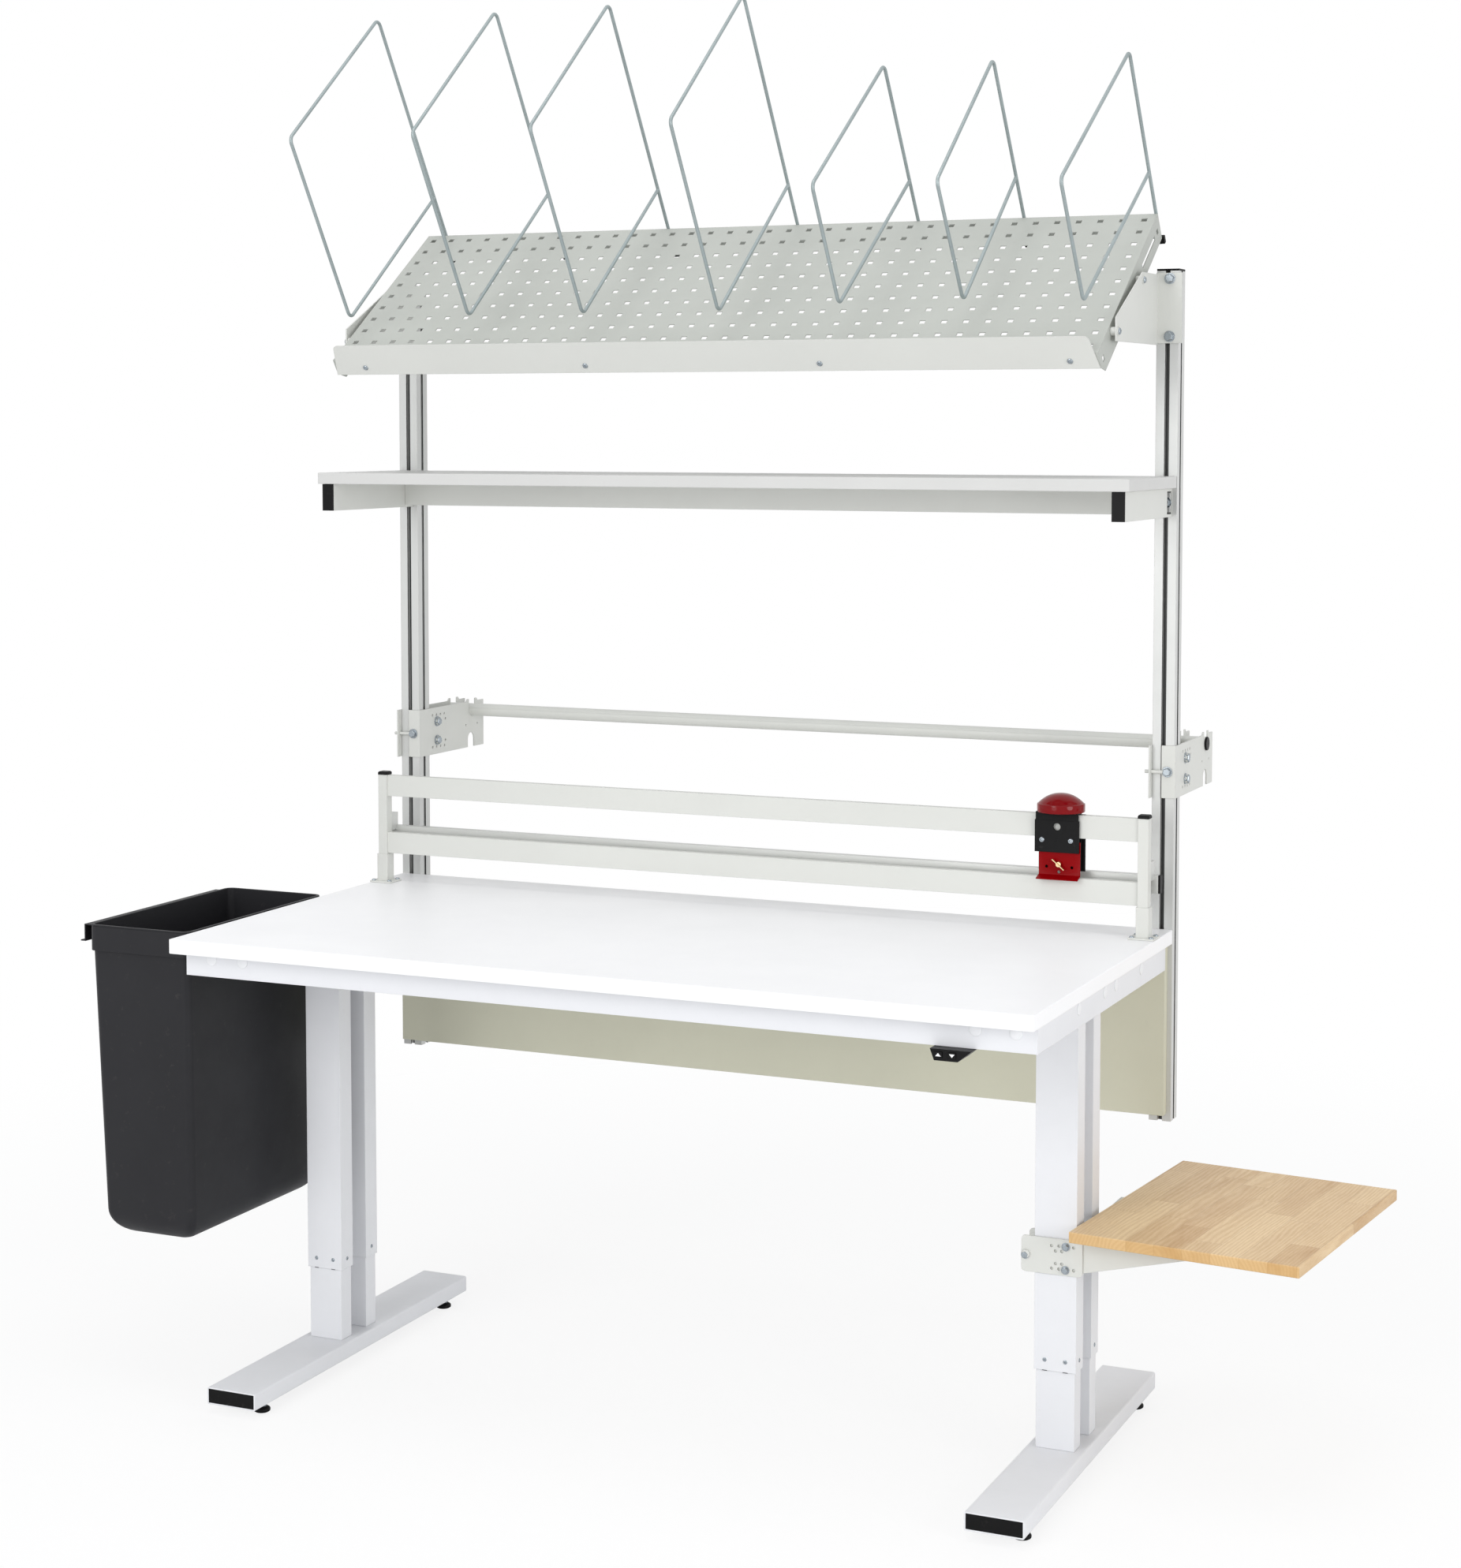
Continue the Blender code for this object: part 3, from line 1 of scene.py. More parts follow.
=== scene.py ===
# %% [markdown]
# A packing table, dressed for a picture
#
# The table stands on two lifting legs. Above its white top stand two slotted posts with a shelf, a tilted
# punched shelf with wire dividers, a film cutter and holders for a film roll. A bin hangs at its left and
# a small beech board at its right.
#
# The shapes of the table come ready as a frame of named nodes. This script gives each one its finish,
# adds the small pieces that make it look real, and sets up the light and the camera.

# %% The frame
import json
import math

import bmesh
import bpy
from mathutils import Matrix, Vector


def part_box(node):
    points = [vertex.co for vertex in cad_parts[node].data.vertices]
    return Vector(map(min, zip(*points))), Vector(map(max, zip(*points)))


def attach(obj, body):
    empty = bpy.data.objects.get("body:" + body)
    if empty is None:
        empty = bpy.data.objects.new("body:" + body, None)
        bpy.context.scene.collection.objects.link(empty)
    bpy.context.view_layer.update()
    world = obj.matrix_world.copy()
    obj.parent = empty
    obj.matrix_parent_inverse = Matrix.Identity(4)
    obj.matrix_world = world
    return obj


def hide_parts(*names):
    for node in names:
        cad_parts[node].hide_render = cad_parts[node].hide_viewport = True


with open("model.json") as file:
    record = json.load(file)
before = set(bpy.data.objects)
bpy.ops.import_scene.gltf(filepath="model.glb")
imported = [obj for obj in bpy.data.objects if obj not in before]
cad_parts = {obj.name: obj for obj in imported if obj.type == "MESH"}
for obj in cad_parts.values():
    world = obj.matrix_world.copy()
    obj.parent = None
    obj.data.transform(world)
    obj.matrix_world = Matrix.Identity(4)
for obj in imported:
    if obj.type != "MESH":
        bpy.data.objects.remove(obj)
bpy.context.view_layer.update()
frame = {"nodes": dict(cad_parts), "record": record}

# %% [markdown]
# Measuring from one place
#
# The pieces were measured in the photograph, with zero on the floor under the middle of the worktop's front
# edge. One small function turns such a measure into a place in the frame, so every number below reads like
# one on a tape.

# %% A place on the table
top_low, top_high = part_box("worktop")
ZERO = Vector(((top_low.x + top_high.x) / 2, top_low.y, 0))


def at(x, y, z):
    return ZERO + Vector((x, y, z))


print("zero of the tape", tuple(round(v, 4) for v in ZERO))

# %% [markdown]
# The camera
#
# The picture was taken from the front right, about as high as the posts are tall, with a long lens. Its
# upright lines stay nearly parallel, as with a camera that is held almost level and whose lens is moved
# down instead. Blender has that as the camera's shift.

# %% Camera
PICTURE = (1852, 1988)
LENS = 64.83
SHIFT = -0.11
TURN = math.radians(23.935)
TILT = math.radians(3.80)

camera = bpy.data.objects.new("camera", bpy.data.cameras.new("camera"))
bpy.context.scene.collection.objects.link(camera)
bpy.context.scene.camera = camera
camera.data.sensor_width = 36
camera.data.lens = LENS
camera.data.shift_y = SHIFT
camera.location = at(1.985, -3.8635, 1.6732)
camera.rotation_euler = (math.pi / 2 - TILT, 0, TURN)
camera.data.clip_end = 60
print("camera", tuple(round(v, 3) for v in camera.location), "picture", PICTURE)

# %% [markdown]
# Floor, backdrop and light
#
# The table was photographed on white. A round floor that fades out towards its edge lets the white world
# behind it take over without a line, and still holds the soft shadow under the feet. Four large soft
# lamps and an even world light the table, so that a colour comes out about as it is written. Rays that
# the camera or a shiny piece sends into the distance meet plain white.

# %% Node helpers


def node(tree, kind, inputs=(), **settings):
    """Adds a shader node. inputs gives a value or a socket to link for each named or numbered input."""
    new = tree.nodes.new("ShaderNode" + kind)
    for key, value in settings.items():
        setattr(new, key, value)
    for key, value in dict(inputs).items():
        if isinstance(value, bpy.types.NodeSocket):
            tree.links.new(value, new.inputs[key])
        else:
            new.inputs[key].default_value = value
    return new


def srgb(*levels):
    """A colour as it looks on a screen, 0 to 255, turned into the linear light that a shader needs."""
    return tuple((v / 255 / 12.92) if v < 11 else ((v / 255 + 0.055) / 1.055) ** 2.4 for v in levels)


def linked(name, mesh):
    thing = bpy.data.objects.new(name, mesh)
    bpy.context.scene.collection.objects.link(thing)
    return thing


# %% World
world = bpy.data.worlds.new("studio")
bpy.context.scene.world = world
world.use_nodes = True
tree = world.node_tree
tree.nodes.clear()
path = node(tree, "LightPath")
seen = node(tree, "Math", {0: path.outputs["Is Camera Ray"], 1: path.outputs["Is Glossy Ray"]},
            operation="MAXIMUM")
seen = node(tree, "Math", {0: seen.outputs[0], 1: path.outputs["Is Transmission Ray"]}, operation="MAXIMUM")
ROOM_LIGHT = 0.70
room = node(tree, "Background", {"Color": (0.97, 0.98, 1.0, 1), "Strength": ROOM_LIGHT})
white = node(tree, "Background", {"Color": (1, 1, 1, 1), "Strength": 1.0})
mixed = node(tree, "MixShader", {0: seen.outputs[0], 1: room.outputs[0], 2: white.outputs[0]})
node(tree, "OutputWorld", {"Surface": mixed.outputs[0]})

print("world", world.name, "room light", ROOM_LIGHT)

# %% Floor
FLOOR_R = 5.0
FADE_FROM, FADE_TO = 1.3, 3.2
PAPER_WHITE = 0.82
bm = bmesh.new()
bmesh.ops.create_circle(bm, cap_ends=True, segments=96, radius=FLOOR_R)
mesh = bpy.data.meshes.new("floor")
bm.to_mesh(mesh)
bm.free()
floor = linked("floor", mesh)
look = bpy.data.materials.new("floor_paper")
look.use_nodes = True
tree = look.node_tree
shader = tree.nodes["Principled BSDF"]
shader.inputs["Base Color"].default_value = (0.93, 0.93, 0.93, 1)
shader.inputs["Roughness"].default_value = 0.9
shader.inputs["Specular IOR Level"].default_value = 0.0
place = node(tree, "TexCoord").outputs["Object"]
distance = node(tree, "VectorMath", {0: place}, operation="LENGTH")
fade = node(tree, "MapRange", {"Value": distance.outputs["Value"], "From Min": FADE_FROM,
                               "From Max": FADE_TO, "To Min": 1, "To Max": 0},
            interpolation_type="SMOOTHSTEP")
tree.links.new(fade.outputs[0], shader.inputs["Alpha"])
seen = node(tree, "Math", {0: node(tree, "LightPath").outputs["Is Camera Ray"], 1: PAPER_WHITE},
            operation="MULTIPLY")
glow = node(tree, "Emission", {"Color": (1, 1, 1, 1), "Strength": 1.0})
lit = node(tree, "MixShader", {0: seen.outputs[0], 1: shader.outputs[0], 2: glow.outputs[0]})
tree.links.new(lit.outputs[0], tree.nodes["Material Output"].inputs["Surface"])
mesh.materials.append(look)
print("floor fades from", FADE_FROM, "to", FADE_TO)

# %% Lamps: name, place, size and power
LAMPS = (
    ("key", (-1.5, -5.4, 3.2), 2.8, 78),
    ("low front", (-1.0, -5.0, 1.2), 2.4, 25),
    ("fill", (4.6, -2.2, 1.6), 2.4, 72),
    ("top", (0.3, -1.2, 6.0), 3.4, 66),
)
AIM = Vector((0, 0, 1.0))
for name, spot, size, power in LAMPS:
    lamp = bpy.data.lights.new(name, "AREA")
    lamp.shape = "DISK"
    lamp.size = size
    lamp.energy = power
    holder = linked(name, lamp)
    holder.location = spot
    holder.rotation_euler = (AIM - Vector(spot)).to_track_quat("-Z", "Y").to_euler()
bpy.context.scene.view_settings.view_transform = "Standard"
print("lamps", [name for name, *_ in LAMPS])

# %% [markdown]
# Finishes that several materials share
#
# Powder coat, laminate and plastic differ mostly in colour and grain. What they share is made once as a
# node group with named inputs: a fine grain, which brushed metal stretches into lines, cloudy soiling, and
# a mask that finds the edges, where a painted highlight lightens the colour as if rounded edges caught light.

# %% Group helper


def group(name, inputs, outputs):
    tree = bpy.data.node_groups.new(name, "ShaderNodeTree")
    for label, value in inputs:
        kind = "NodeSocketVector" if isinstance(value, tuple) else "NodeSocketFloat"
        tree.interface.new_socket(label, in_out="INPUT", socket_type=kind).default_value = value
    for label, kind in outputs:
        tree.interface.new_socket(label, in_out="OUTPUT", socket_type="NodeSocket" + kind)
    return tree, tree.nodes.new("NodeGroupInput").outputs, tree.nodes.new("NodeGroupOutput").inputs


def places(tree):
    return node(tree, "TexCoord").outputs["Object"]


# %% Fine grain
FINE_GRAIN, put, out = group("fine grain", [("Scale", 900.0), ("Stretch", (1.0, 1.0, 1.0))],
                             [("Height", "Float"), ("Tone", "Float")])
spread = node(FINE_GRAIN, "VectorMath", {0: places(FINE_GRAIN), 1: put["Stretch"]}, operation="MULTIPLY")
fine = node(FINE_GRAIN, "TexNoise", {"Vector": spread.outputs[0], "Scale": put["Scale"], "Detail": 3.0})
FINE_GRAIN.links.new(fine.outputs[0], out["Height"])
tone = node(FINE_GRAIN, "MapRange", {"Value": fine.outputs[0], "From Min": 0.3, "From Max": 0.7})
FINE_GRAIN.links.new(tone.outputs[0], out["Tone"])

# %% Soiling
SOILING, put, out = group("soiling", [("Scale", 5.0), ("Spots", 60.0)],
                          [("Cloud", "Float"), ("Marks", "Float")])
cloud = node(SOILING, "TexNoise", {"Vector": places(SOILING), "Scale": put["Scale"], "Detail": 6.0,
                                   "Roughness": 0.65})
soft = node(SOILING, "MapRange", {"Value": cloud.outputs[0], "From Min": 0.35, "From Max": 0.72})
SOILING.links.new(soft.outputs[0], out["Cloud"])
marks = node(SOILING, "TexNoise", {"Vector": places(SOILING), "Scale": put["Spots"], "Detail": 4.0,
                                   "Roughness": 0.7})
sharp = node(SOILING, "MapRange", {"Value": marks.outputs[0], "From Min": 0.62, "From Max": 0.72})
SOILING.links.new(sharp.outputs[0], out["Marks"])

# %% Edges
EDGES, put, out = group("edges", [("Radius", 0.0012)], [("Edge", "Float"), ("Normal", "Vector")])
round_off = node(EDGES, "Bevel", {"Radius": put["Radius"]}, samples=4)
EDGES.links.new(round_off.outputs[0], out["Normal"])
outward = node(EDGES, "NewGeometry").outputs["Normal"]
same = node(EDGES, "VectorMath", {0: round_off.outputs[0], 1: outward}, operation="DOT_PRODUCT")
near_edge = node(EDGES, "MapRange", {"Value": same.outputs["Value"], "From Min": 0.995, "From Max": 0.80})
EDGES.links.new(near_edge.outputs[0], out["Edge"])
print("groups", [g.name for g in bpy.data.node_groups])

# %% [markdown]
# A material from its parts
#
# Each finish starts from its colour, its gloss and its grain. Values that are the same everywhere go
# straight on the shader's own sockets. The groups only add what changes over the surface.

# %% The coated finish
MARK_COLOUR = (0.12, 0.11, 0.10)
EDGE_HIGHLIGHT_LIFT = 0.35


def use(tree, made, **values):
    new = tree.nodes.new("ShaderNodeGroup")
    new.node_tree = made
    for key, value in values.items():
        new.inputs[key.replace("_", " ")].default_value = value
    return new.outputs


def blend(tree, share, first, second):
    mix = node(tree, "Mix", {0: share}, data_type="RGBA")
    for k, value in ((6, first), (7, second)):
        if isinstance(value, bpy.types.NodeSocket):
            tree.links.new(value, mix.inputs[k])
        else:
            mix.inputs[k].default_value = (*value, 1)
    return mix.outputs[2]


def scaled(tree, value, low, high):
    return node(tree, "MapRange", {"Value": value, "To Min": low, "To Max": high}).outputs[0]


def coated(name, colour, rough, grain=900.0, depth=0.00004, soil=0.06, edge=0.5, stretch=(1, 1, 1),
           metallic=0.0, radius=0.0012, patchy=1.0, **sockets):
    """A finish: its colour and gloss, the grain's scale and depth, soiling, painted edge highlights and
    patchy gloss.
    """
    look = bpy.data.materials.new(name)
    look.use_nodes = True
    tree = look.node_tree
    shader = tree.nodes["Principled BSDF"]
    shader.inputs["Metallic"].default_value = metallic
    for key, value in sockets.items():
        shader.inputs[key.replace("_", " ")].default_value = value
    fine = use(tree, FINE_GRAIN, Scale=grain, Stretch=stretch)
    dirt = use(tree, SOILING)
    edges = use(tree, EDGES, Radius=radius)
    darker = tuple(v * (1 - soil) for v in colour)
    lighter = tuple(min(1, v * (1 + soil / 2)) for v in colour)
    toned = blend(tree, dirt["Cloud"], colour, darker)
    toned = blend(tree, scaled(tree, fine["Tone"], 0, 0.35), toned, lighter)
    marked = blend(tree, scaled(tree, dirt["Marks"], 0, 0.5 * soil), toned, MARK_COLOUR)
    # Painted highlight: near the edges the colour is lightened towards white, as if the edges caught the
    # light.
    edge_highlight = tuple(v + (1 - v) * EDGE_HIGHLIGHT_LIFT * edge for v in colour)
    tree.links.new(blend(tree, scaled(tree, edges["Edge"], 0, 0.8 * edge), marked, edge_highlight),
                   shader.inputs["Base Color"])
    clouded = scaled(tree, dirt["Cloud"], rough - 0.05 * patchy, rough + 0.07 * patchy)
    grained = scaled(tree, fine["Tone"], -0.03 * patchy, 0.03 * patchy)
    gloss = node(tree, "Math", {0: clouded, 1: grained}, operation="ADD")
    tree.links.new(gloss.outputs[0], shader.inputs["Roughness"])
    bump = node(tree, "Bump", {"Height": fine["Height"], "Distance": depth, "Normal": edges["Normal"]})
    tree.links.new(bump.outputs[0], shader.inputs["Normal"])
    return look


# %% The finishes
LOOKS = {
    "white_top": coated("white_laminate", srgb(246, 246, 247), 0.42, 2200, 0.00002, 0.03, 0.2,
                        Specular_IOR_Level=0.3),
    "white_steel": coated("white_powder_coat", srgb(227, 228, 231), 0.38, 1400, 0.00003, 0.05, 1.25,
                          Specular_IOR_Level=0.4),
    "plug": coated("white_plug", srgb(234, 235, 237), 0.42, 1400, 0.00002, 0.03, 0.3,
                   Specular_IOR_Level=0.3),
    "grey_steel": coated("grey_powder_coat", srgb(214, 215, 210), 0.45, 1400, 0.00003, 0.04, 0.5,
                         Specular_IOR_Level=0.4),
    "grey_board": coated("grey_laminate", srgb(206, 206, 204), 0.45, 2200, 0.00002, 0.04, 0.2,
                         Specular_IOR_Level=0.3),
    "punched_steel": coated("punched_sheet_coat", srgb(182, 185, 179), 0.46, 1400, 0.00003, 0.10, 0.4,
                            Specular_IOR_Level=0.4),
    "panel": coated("panel_laminate", srgb(209, 208, 188), 0.55, 1600, 0.00002, 0.05, 0.2,
                    Specular_IOR_Level=0.2),
    "aluminium": coated("anodised_aluminium", srgb(205, 206, 204), 0.42, 900, 0.00001, 0.05, 0.4,
                        (1, 1, 0.01), 0.3),
    "rail": coated("anodised_rail", srgb(206, 207, 204), 0.38, 900, 0.00001, 0.04, 0.3, (0.01, 1, 1), 0.4),
    "wire": coated("zinc_plated_wire", srgb(160, 171, 172), 0.46, 260, 0.00002, 0.25, 0.2,
                   (1, 1, 1), 0.55, Specular_IOR_Level=0.3),
    "zinc": coated("zinc_plated_bolt", srgb(160, 168, 174), 0.26, 400, 0.00001, 0.15, 0.3, (1, 1, 1), 0.85),
    "black_plastic": coated("black_plastic", srgb(13, 13, 14), 0.45, 1500, 0.00004, 0.2, 0.10,
                            Specular_IOR_Level=0.14),
    "bin_plastic": coated("bin_plastic", srgb(37, 37, 40), 0.50, 1300, 0.00006, 0.2, 0.10,
                          Specular_IOR_Level=0.2),
    "red": coated("red_paint", srgb(136, 2, 8), 0.26, 1200, 0.00001, 0.08, 0.08,
                  Specular_IOR_Level=0.05),
    "dome": coated("red_dome", srgb(122, 0, 7), 0.06, 400, 0.0, 0.02, 0.0, radius=0.0004, patchy=0.1,
                   Specular_IOR_Level=0.20),
    "brass": coated("turned_brass", srgb(216, 192, 150), 0.28, 700, 0.00001, 0.1, 0.3, (1, 1, 1), 1.0),
    "arrow": coated("printed_arrow", srgb(238, 238, 238), 0.5, 2500, 0.00001, 0.03, 0.1),
}
print("finishes", sorted(LOOKS))

# %% [markdown]
# Beech block
#
# The side board is glued up from beech staves about 45 mm wide that run from front to back, and each row
# is made of shorter lengths with butt joints. A picture of wood would only cover the top. Growth rings
# drawn as real rings through the solid show long grain on the top, arcs on the front edge and lines on the
# sides, as they do in wood. The board is turned by 6 degrees, so the pattern is turned with it.

# %% The rings, staves and joints
BOARD_MIDDLE = at(0.921, 0.535, 0.407)
BOARD_TURN = math.radians(-6)
STAVE = 0.0455
LENGTH = 0.27
RINGS = 1050.0
RING_STRETCH = (1.0, 0.035, 1.0)
CLOUD_STRETCH = (1.0, 0.22, 1.0)
PORE_STRETCH = (1.0, 0.06, 1.0)
STAVE_SHIFT = (0.05, 0.0, 0.05)
DRIFT = (0.026, 0.0, 0.026)


def maths(tree, kind, a, b=0.0):
    return node(tree, "Math", {0: a, 1: b}, operation=kind).outputs[0]


def vectors(tree, kind, a, b):
    return node(tree, "VectorMath", {0: a, 1: b}, operation=kind).outputs[0]


def ramp(tree, value, start, stop, **ends):
    """Turns a value between start and stop into 0 to 1."""
    limits = {"From Min": start, "From Max": stop}
    limits.update({key.replace("_", " "): end for key, end in ends.items()})
    return node(tree, "MapRange", {"Value": value, **limits}).outputs[0]


def beech():
    look = bpy.data.materials.new("beech_block")
    look.use_nodes = True
    tree = look.node_tree
    shader = tree.nodes["Principled BSDF"]
    spot = vectors(tree, "SUBTRACT", places(tree), tuple(BOARD_MIDDLE))
    spot = node(tree, "VectorRotate", {"Vector": spot, "Angle": -BOARD_TURN},
                rotation_type="Z_AXIS").outputs[0]
    part = node(tree, "SeparateXYZ", {0: spot}).outputs
    # Which stave, and how far across it
    row = maths(tree, "FLOOR", maths(tree, "DIVIDE", part["X"], STAVE))
    across = maths(tree, "SUBTRACT", maths(tree, "DIVIDE", part["X"], STAVE), row)
    # Which length of that stave, each row shifted by its own luck
    luck = node(tree, "TexWhiteNoise", {"W": maths(tree, "ADD", row, 17.3)}, noise_dimensions="1D").outputs
    shifted = maths(tree, "ADD", maths(tree, "DIVIDE", part["Y"], LENGTH),
                    maths(tree, "MULTIPLY", luck["Value"], 3.0))
    run = maths(tree, "FLOOR", shifted)
    along = maths(tree, "SUBTRACT", shifted, run)
    both = node(tree, "CombineXYZ", {"X": row, "Y": run, "Z": 4.0}).outputs[0]
    own = node(tree, "TexWhiteNoise", {"Vector": both}, noise_dimensions="3D").outputs
    # Growth rings round a heart that lies elsewhere for each piece
    wander = vectors(tree, "MULTIPLY", own["Color"], STAVE_SHIFT)
    slow = vectors(tree, "MULTIPLY", spot, CLOUD_STRETCH)
    drift = node(tree, "TexNoise", {"Vector": slow, "Scale": 16.0, "Detail": 3.0}).outputs["Color"]
    drift = vectors(tree, "MULTIPLY", drift, DRIFT)
    placed = vectors(tree, "ADD", vectors(tree, "ADD", spot, wander), drift)
    flat = vectors(tree, "MULTIPLY", placed, RING_STRETCH)
    far = node(tree, "VectorMath", {0: flat}, operation="LENGTH").outputs["Value"]
    rings = maths(tree, "SINE", maths(tree, "MULTIPLY", far, RINGS))
    rings = scaled(tree, maths(tree, "ADD", maths(tree, "MULTIPLY", rings, 0.5), 0.5), 0, 1)
    # Pores and clouds
    thin = vectors(tree, "MULTIPLY", spot, PORE_STRETCH)
    pores = node(tree, "TexNoise", {"Vector": thin, "Scale": 950.0, "Detail": 2.0}).outputs[0]
    pores = ramp(tree, pores, 0.42, 0.70)
    clouds = node(tree, "TexNoise", {"Vector": slow, "Scale": 34.0, "Detail": 4.0}).outputs[0]
    clouds = ramp(tree, clouds, 0.35, 0.68)
    base = blend(tree, own["Value"], srgb(226, 198, 154), srgb(190, 152, 104))
    base = blend(tree, scaled(tree, clouds, 0, 0.55), base, srgb(232, 204, 158))
    base = blend(tree, scaled(tree, rings, 0, 0.26), base, srgb(176, 132, 84))
    base = blend(tree, scaled(tree, pores, 0, 0.14), base, srgb(150, 104, 62))
    # Glue lines, and the darker end grain of the front edge
    near = maths(tree, "MINIMUM", across, maths(tree, "SUBTRACT", 1.0, across))
    seam = ramp(tree, near, 0.0, 0.02, To_Min=1, To_Max=0)
    butt = maths(tree, "MINIMUM", along, maths(tree, "SUBTRACT", 1.0, along))
    butt = ramp(tree, butt, 0.0, 0.0035, To_Min=1, To_Max=0)
    joint = maths(tree, "MAXIMUM", seam, butt)
    base = blend(tree, scaled(tree, joint, 0, 0.35), base, srgb(140, 98, 58))
    outward = node(tree, "SeparateXYZ", {0: node(tree, "NewGeometry").outputs["Normal"]}).outputs
    end = ramp(tree, maths(tree, "ABSOLUTE", outward["Y"]), 0.8, 0.95)
    base = blend(tree, scaled(tree, end, 0, 0.45), base, srgb(206, 158, 84))
    # Painted highlight: the colour is lightened near the edges, as if the rounded edges caught the light.
    edges = use(tree, EDGES, Radius=0.0016)
    tree.links.new(blend(tree, scaled(tree, edges["Edge"], 0, 0.3), base, srgb(236, 206, 160)),
                   shader.inputs["Base Color"])
    gloss = maths(tree, "ADD", scaled(tree, pores, 0.40, 0.52), scaled(tree, rings, -0.03, 0.03))
    tree.links.new(gloss, shader.inputs["Roughness"])
    height = maths(tree, "SUBTRACT", maths(tree, "MULTIPLY", rings, 0.4), maths(tree, "ADD", pores, joint))
    bump = node(tree, "Bump", {"Height": height, "Distance": 0.00006, "Normal": edges["Normal"]})
    tree.links.new(bump.outputs[0], shader.inputs["Normal"])
    return look


LOOKS["wood"] = beech()
print("wood", LOOKS["wood"].name, "board at", tuple(round(v, 4) for v in BOARD_MIDDLE))

# %% [markdown]
# Painted shade in the slots of the posts
#
# Each post is a pressed profile with a slot in every side. Little light gets into the slots, so they get a
# painted shade that is nearly black. The slots run straight up, so a mask of the place across the post
# finds them, and it stays right from every side.

# %% Slot shade
POST_X = 0.731
POST_Y = 0.779
SLOT_SIDE = 0.0042
SLOT_MOUTH = 0.0186
SLOT_SHADE_COLOUR = srgb(34, 34, 36)


# Painted shade: inside the slots the colour is blended towards near black.
def paint_slot_shade(look):
    tree = look.node_tree
    shader = tree.nodes["Principled BSDF"]
    colour = shader.inputs["Base Color"].links[0].from_socket
    spot = vectors(tree, "SUBTRACT", places(tree), tuple(ZERO))
    part = node(tree, "SeparateXYZ", {0: spot}).outputs
    side = maths(tree, "ABSOLUTE", part["X"])
    across = maths(tree, "ABSOLUTE", maths(tree, "SUBTRACT", side, POST_X))
    deep = maths(tree, "ABSOLUTE", maths(tree, "SUBTRACT", part["Y"], POST_Y))
    narrow = maths(tree, "LESS_THAN", maths(tree, "MINIMUM", across, deep), SLOT_SIDE)
    inside = maths(tree, "LESS_THAN", maths(tree, "MAXIMUM", across, deep), SLOT_MOUTH)
    slot = maths(tree, "MULTIPLY", narrow, inside)
    tree.links.new(blend(tree, scaled(tree, slot, 0, 0.9), colour, SLOT_SHADE_COLOUR),
                   shader.inputs["Base Color"])


paint_slot_shade(LOOKS["aluminium"])
print("slots darkened in", LOOKS["aluminium"].name)

# %% Give every node its finish
SLOTS = {entry["node"]: entry["material_slot"] for entry in frame["record"]["subparts"]}
OWN_LOOK = {"cutter_rail": "rail", "bin_frame": "bin_plastic"}
for name, thing in frame["nodes"].items():
    thing.data.materials.clear()
    thing.data.materials.append(LOOKS[OWN_LOOK.get(name, SLOTS[name])])
print("nodes with a finish", len(SLOTS))

# %% [markdown]
# Small pieces
#
# Screws, plugs, caps and clips are turned or folded parts. Each kind is drawn once as a profile, and one
# mesh holds all the copies that move together, as if they came out of the same bag.

# %% Mesh helpers
MADE = []


def facing(spot, way):
    """Sets a piece that is drawn along +Z at a spot, so that its Z points along way."""
    return Matrix.Translation(spot) @ Vector(way).to_track_quat("Z", "Y").to_matrix().to_4x4()


def turned(bm, profile, place, sides=24, phase=0.0):
    """Adds a turned solid. The profile lists radius and height, from one end of the axis to the other."""
    rings = []
    for radius, height in profile:
        count = sides if radius else 1
        turns = [phase + 2 * math.pi * k / sides for k in range(count)]
        rings.append([bm.verts.new(place @ Vector((radius * math.cos(t), radius * math.sin(t), height)))
                      for t in turns])
    for low, high in zip(rings, rings[1:]):
        for k in range(sides):
            n = (k + 1) % sides
            face = [low[k % len(low)], low[n % len(low)], high[n % len(high)], high[k % len(high)]]
            face = list(dict.fromkeys(face))
            if len(face) > 2:
                bm.faces.new(face)


def block(bm, low, high, place=Matrix()):
    """Adds a box between its lowest and its highest corner."""
    low, high = Vector(low), Vector(high)
    half = Vector((0.5, 0.5, 0.5))
    for v in bmesh.ops.create_cube(bm, size=1)["verts"]:
        v.co = place @ (low + (v.co + half) * (high - low))


def loft(bm, loops):
    """Joins loops that have the same count of points, and closes the first and the last one."""
    rings = [[bm.verts.new(p) for p in loop] for loop in loops]
    for low, high in zip(rings, rings[1:]):
        for k in range(len(low)):
            n = (k + 1) % len(low)
            bm.faces.new((low[k], low[n], high[n], high[k]))
    bm.faces.new(rings[0])
    bm.faces.new(rings[-1])


def rounded_rect(a0, b0, a1, b1, radius, steps=8):
    """The corner points of a rectangle with rounded corners, as pairs."""
    points = []
    corners = ((a1, b1, -1, -1), (a0, b1, 1, -1), (a0, b0, 1, 1), (a1, b0, -1, 1))
    for quarter, (a, b, da, db) in enumerate(corners):
        for k in range(steps + 1):
            t = math.pi / 2 * (quarter + k / steps)
            points.append((a + radius * (da + math.cos(t)), b + radius * (db + math.sin(t))))
    return points


def finished(name, bm, look, body, stands_for=(), bevel=0.0):
    """Makes a piece, gives it its finish and its body, and hides the nodes that it stands for."""
    bmesh.ops.recalc_face_normals(bm, faces=bm.faces)
    mesh = bpy.data.meshes.new(name)
    bm.to_mesh(mesh)
    bm.free()
    thing = linked(name, mesh)
    if bevel:
        rounding = thing.modifiers.new("rounded edges", "BEVEL")
        rounding.width = bevel
        rounding.segments = 3
        rounding.limit_method = "ANGLE"
        rounding.angle_limit = math.radians(42)
    return set_out(thing, look, body, stands_for)


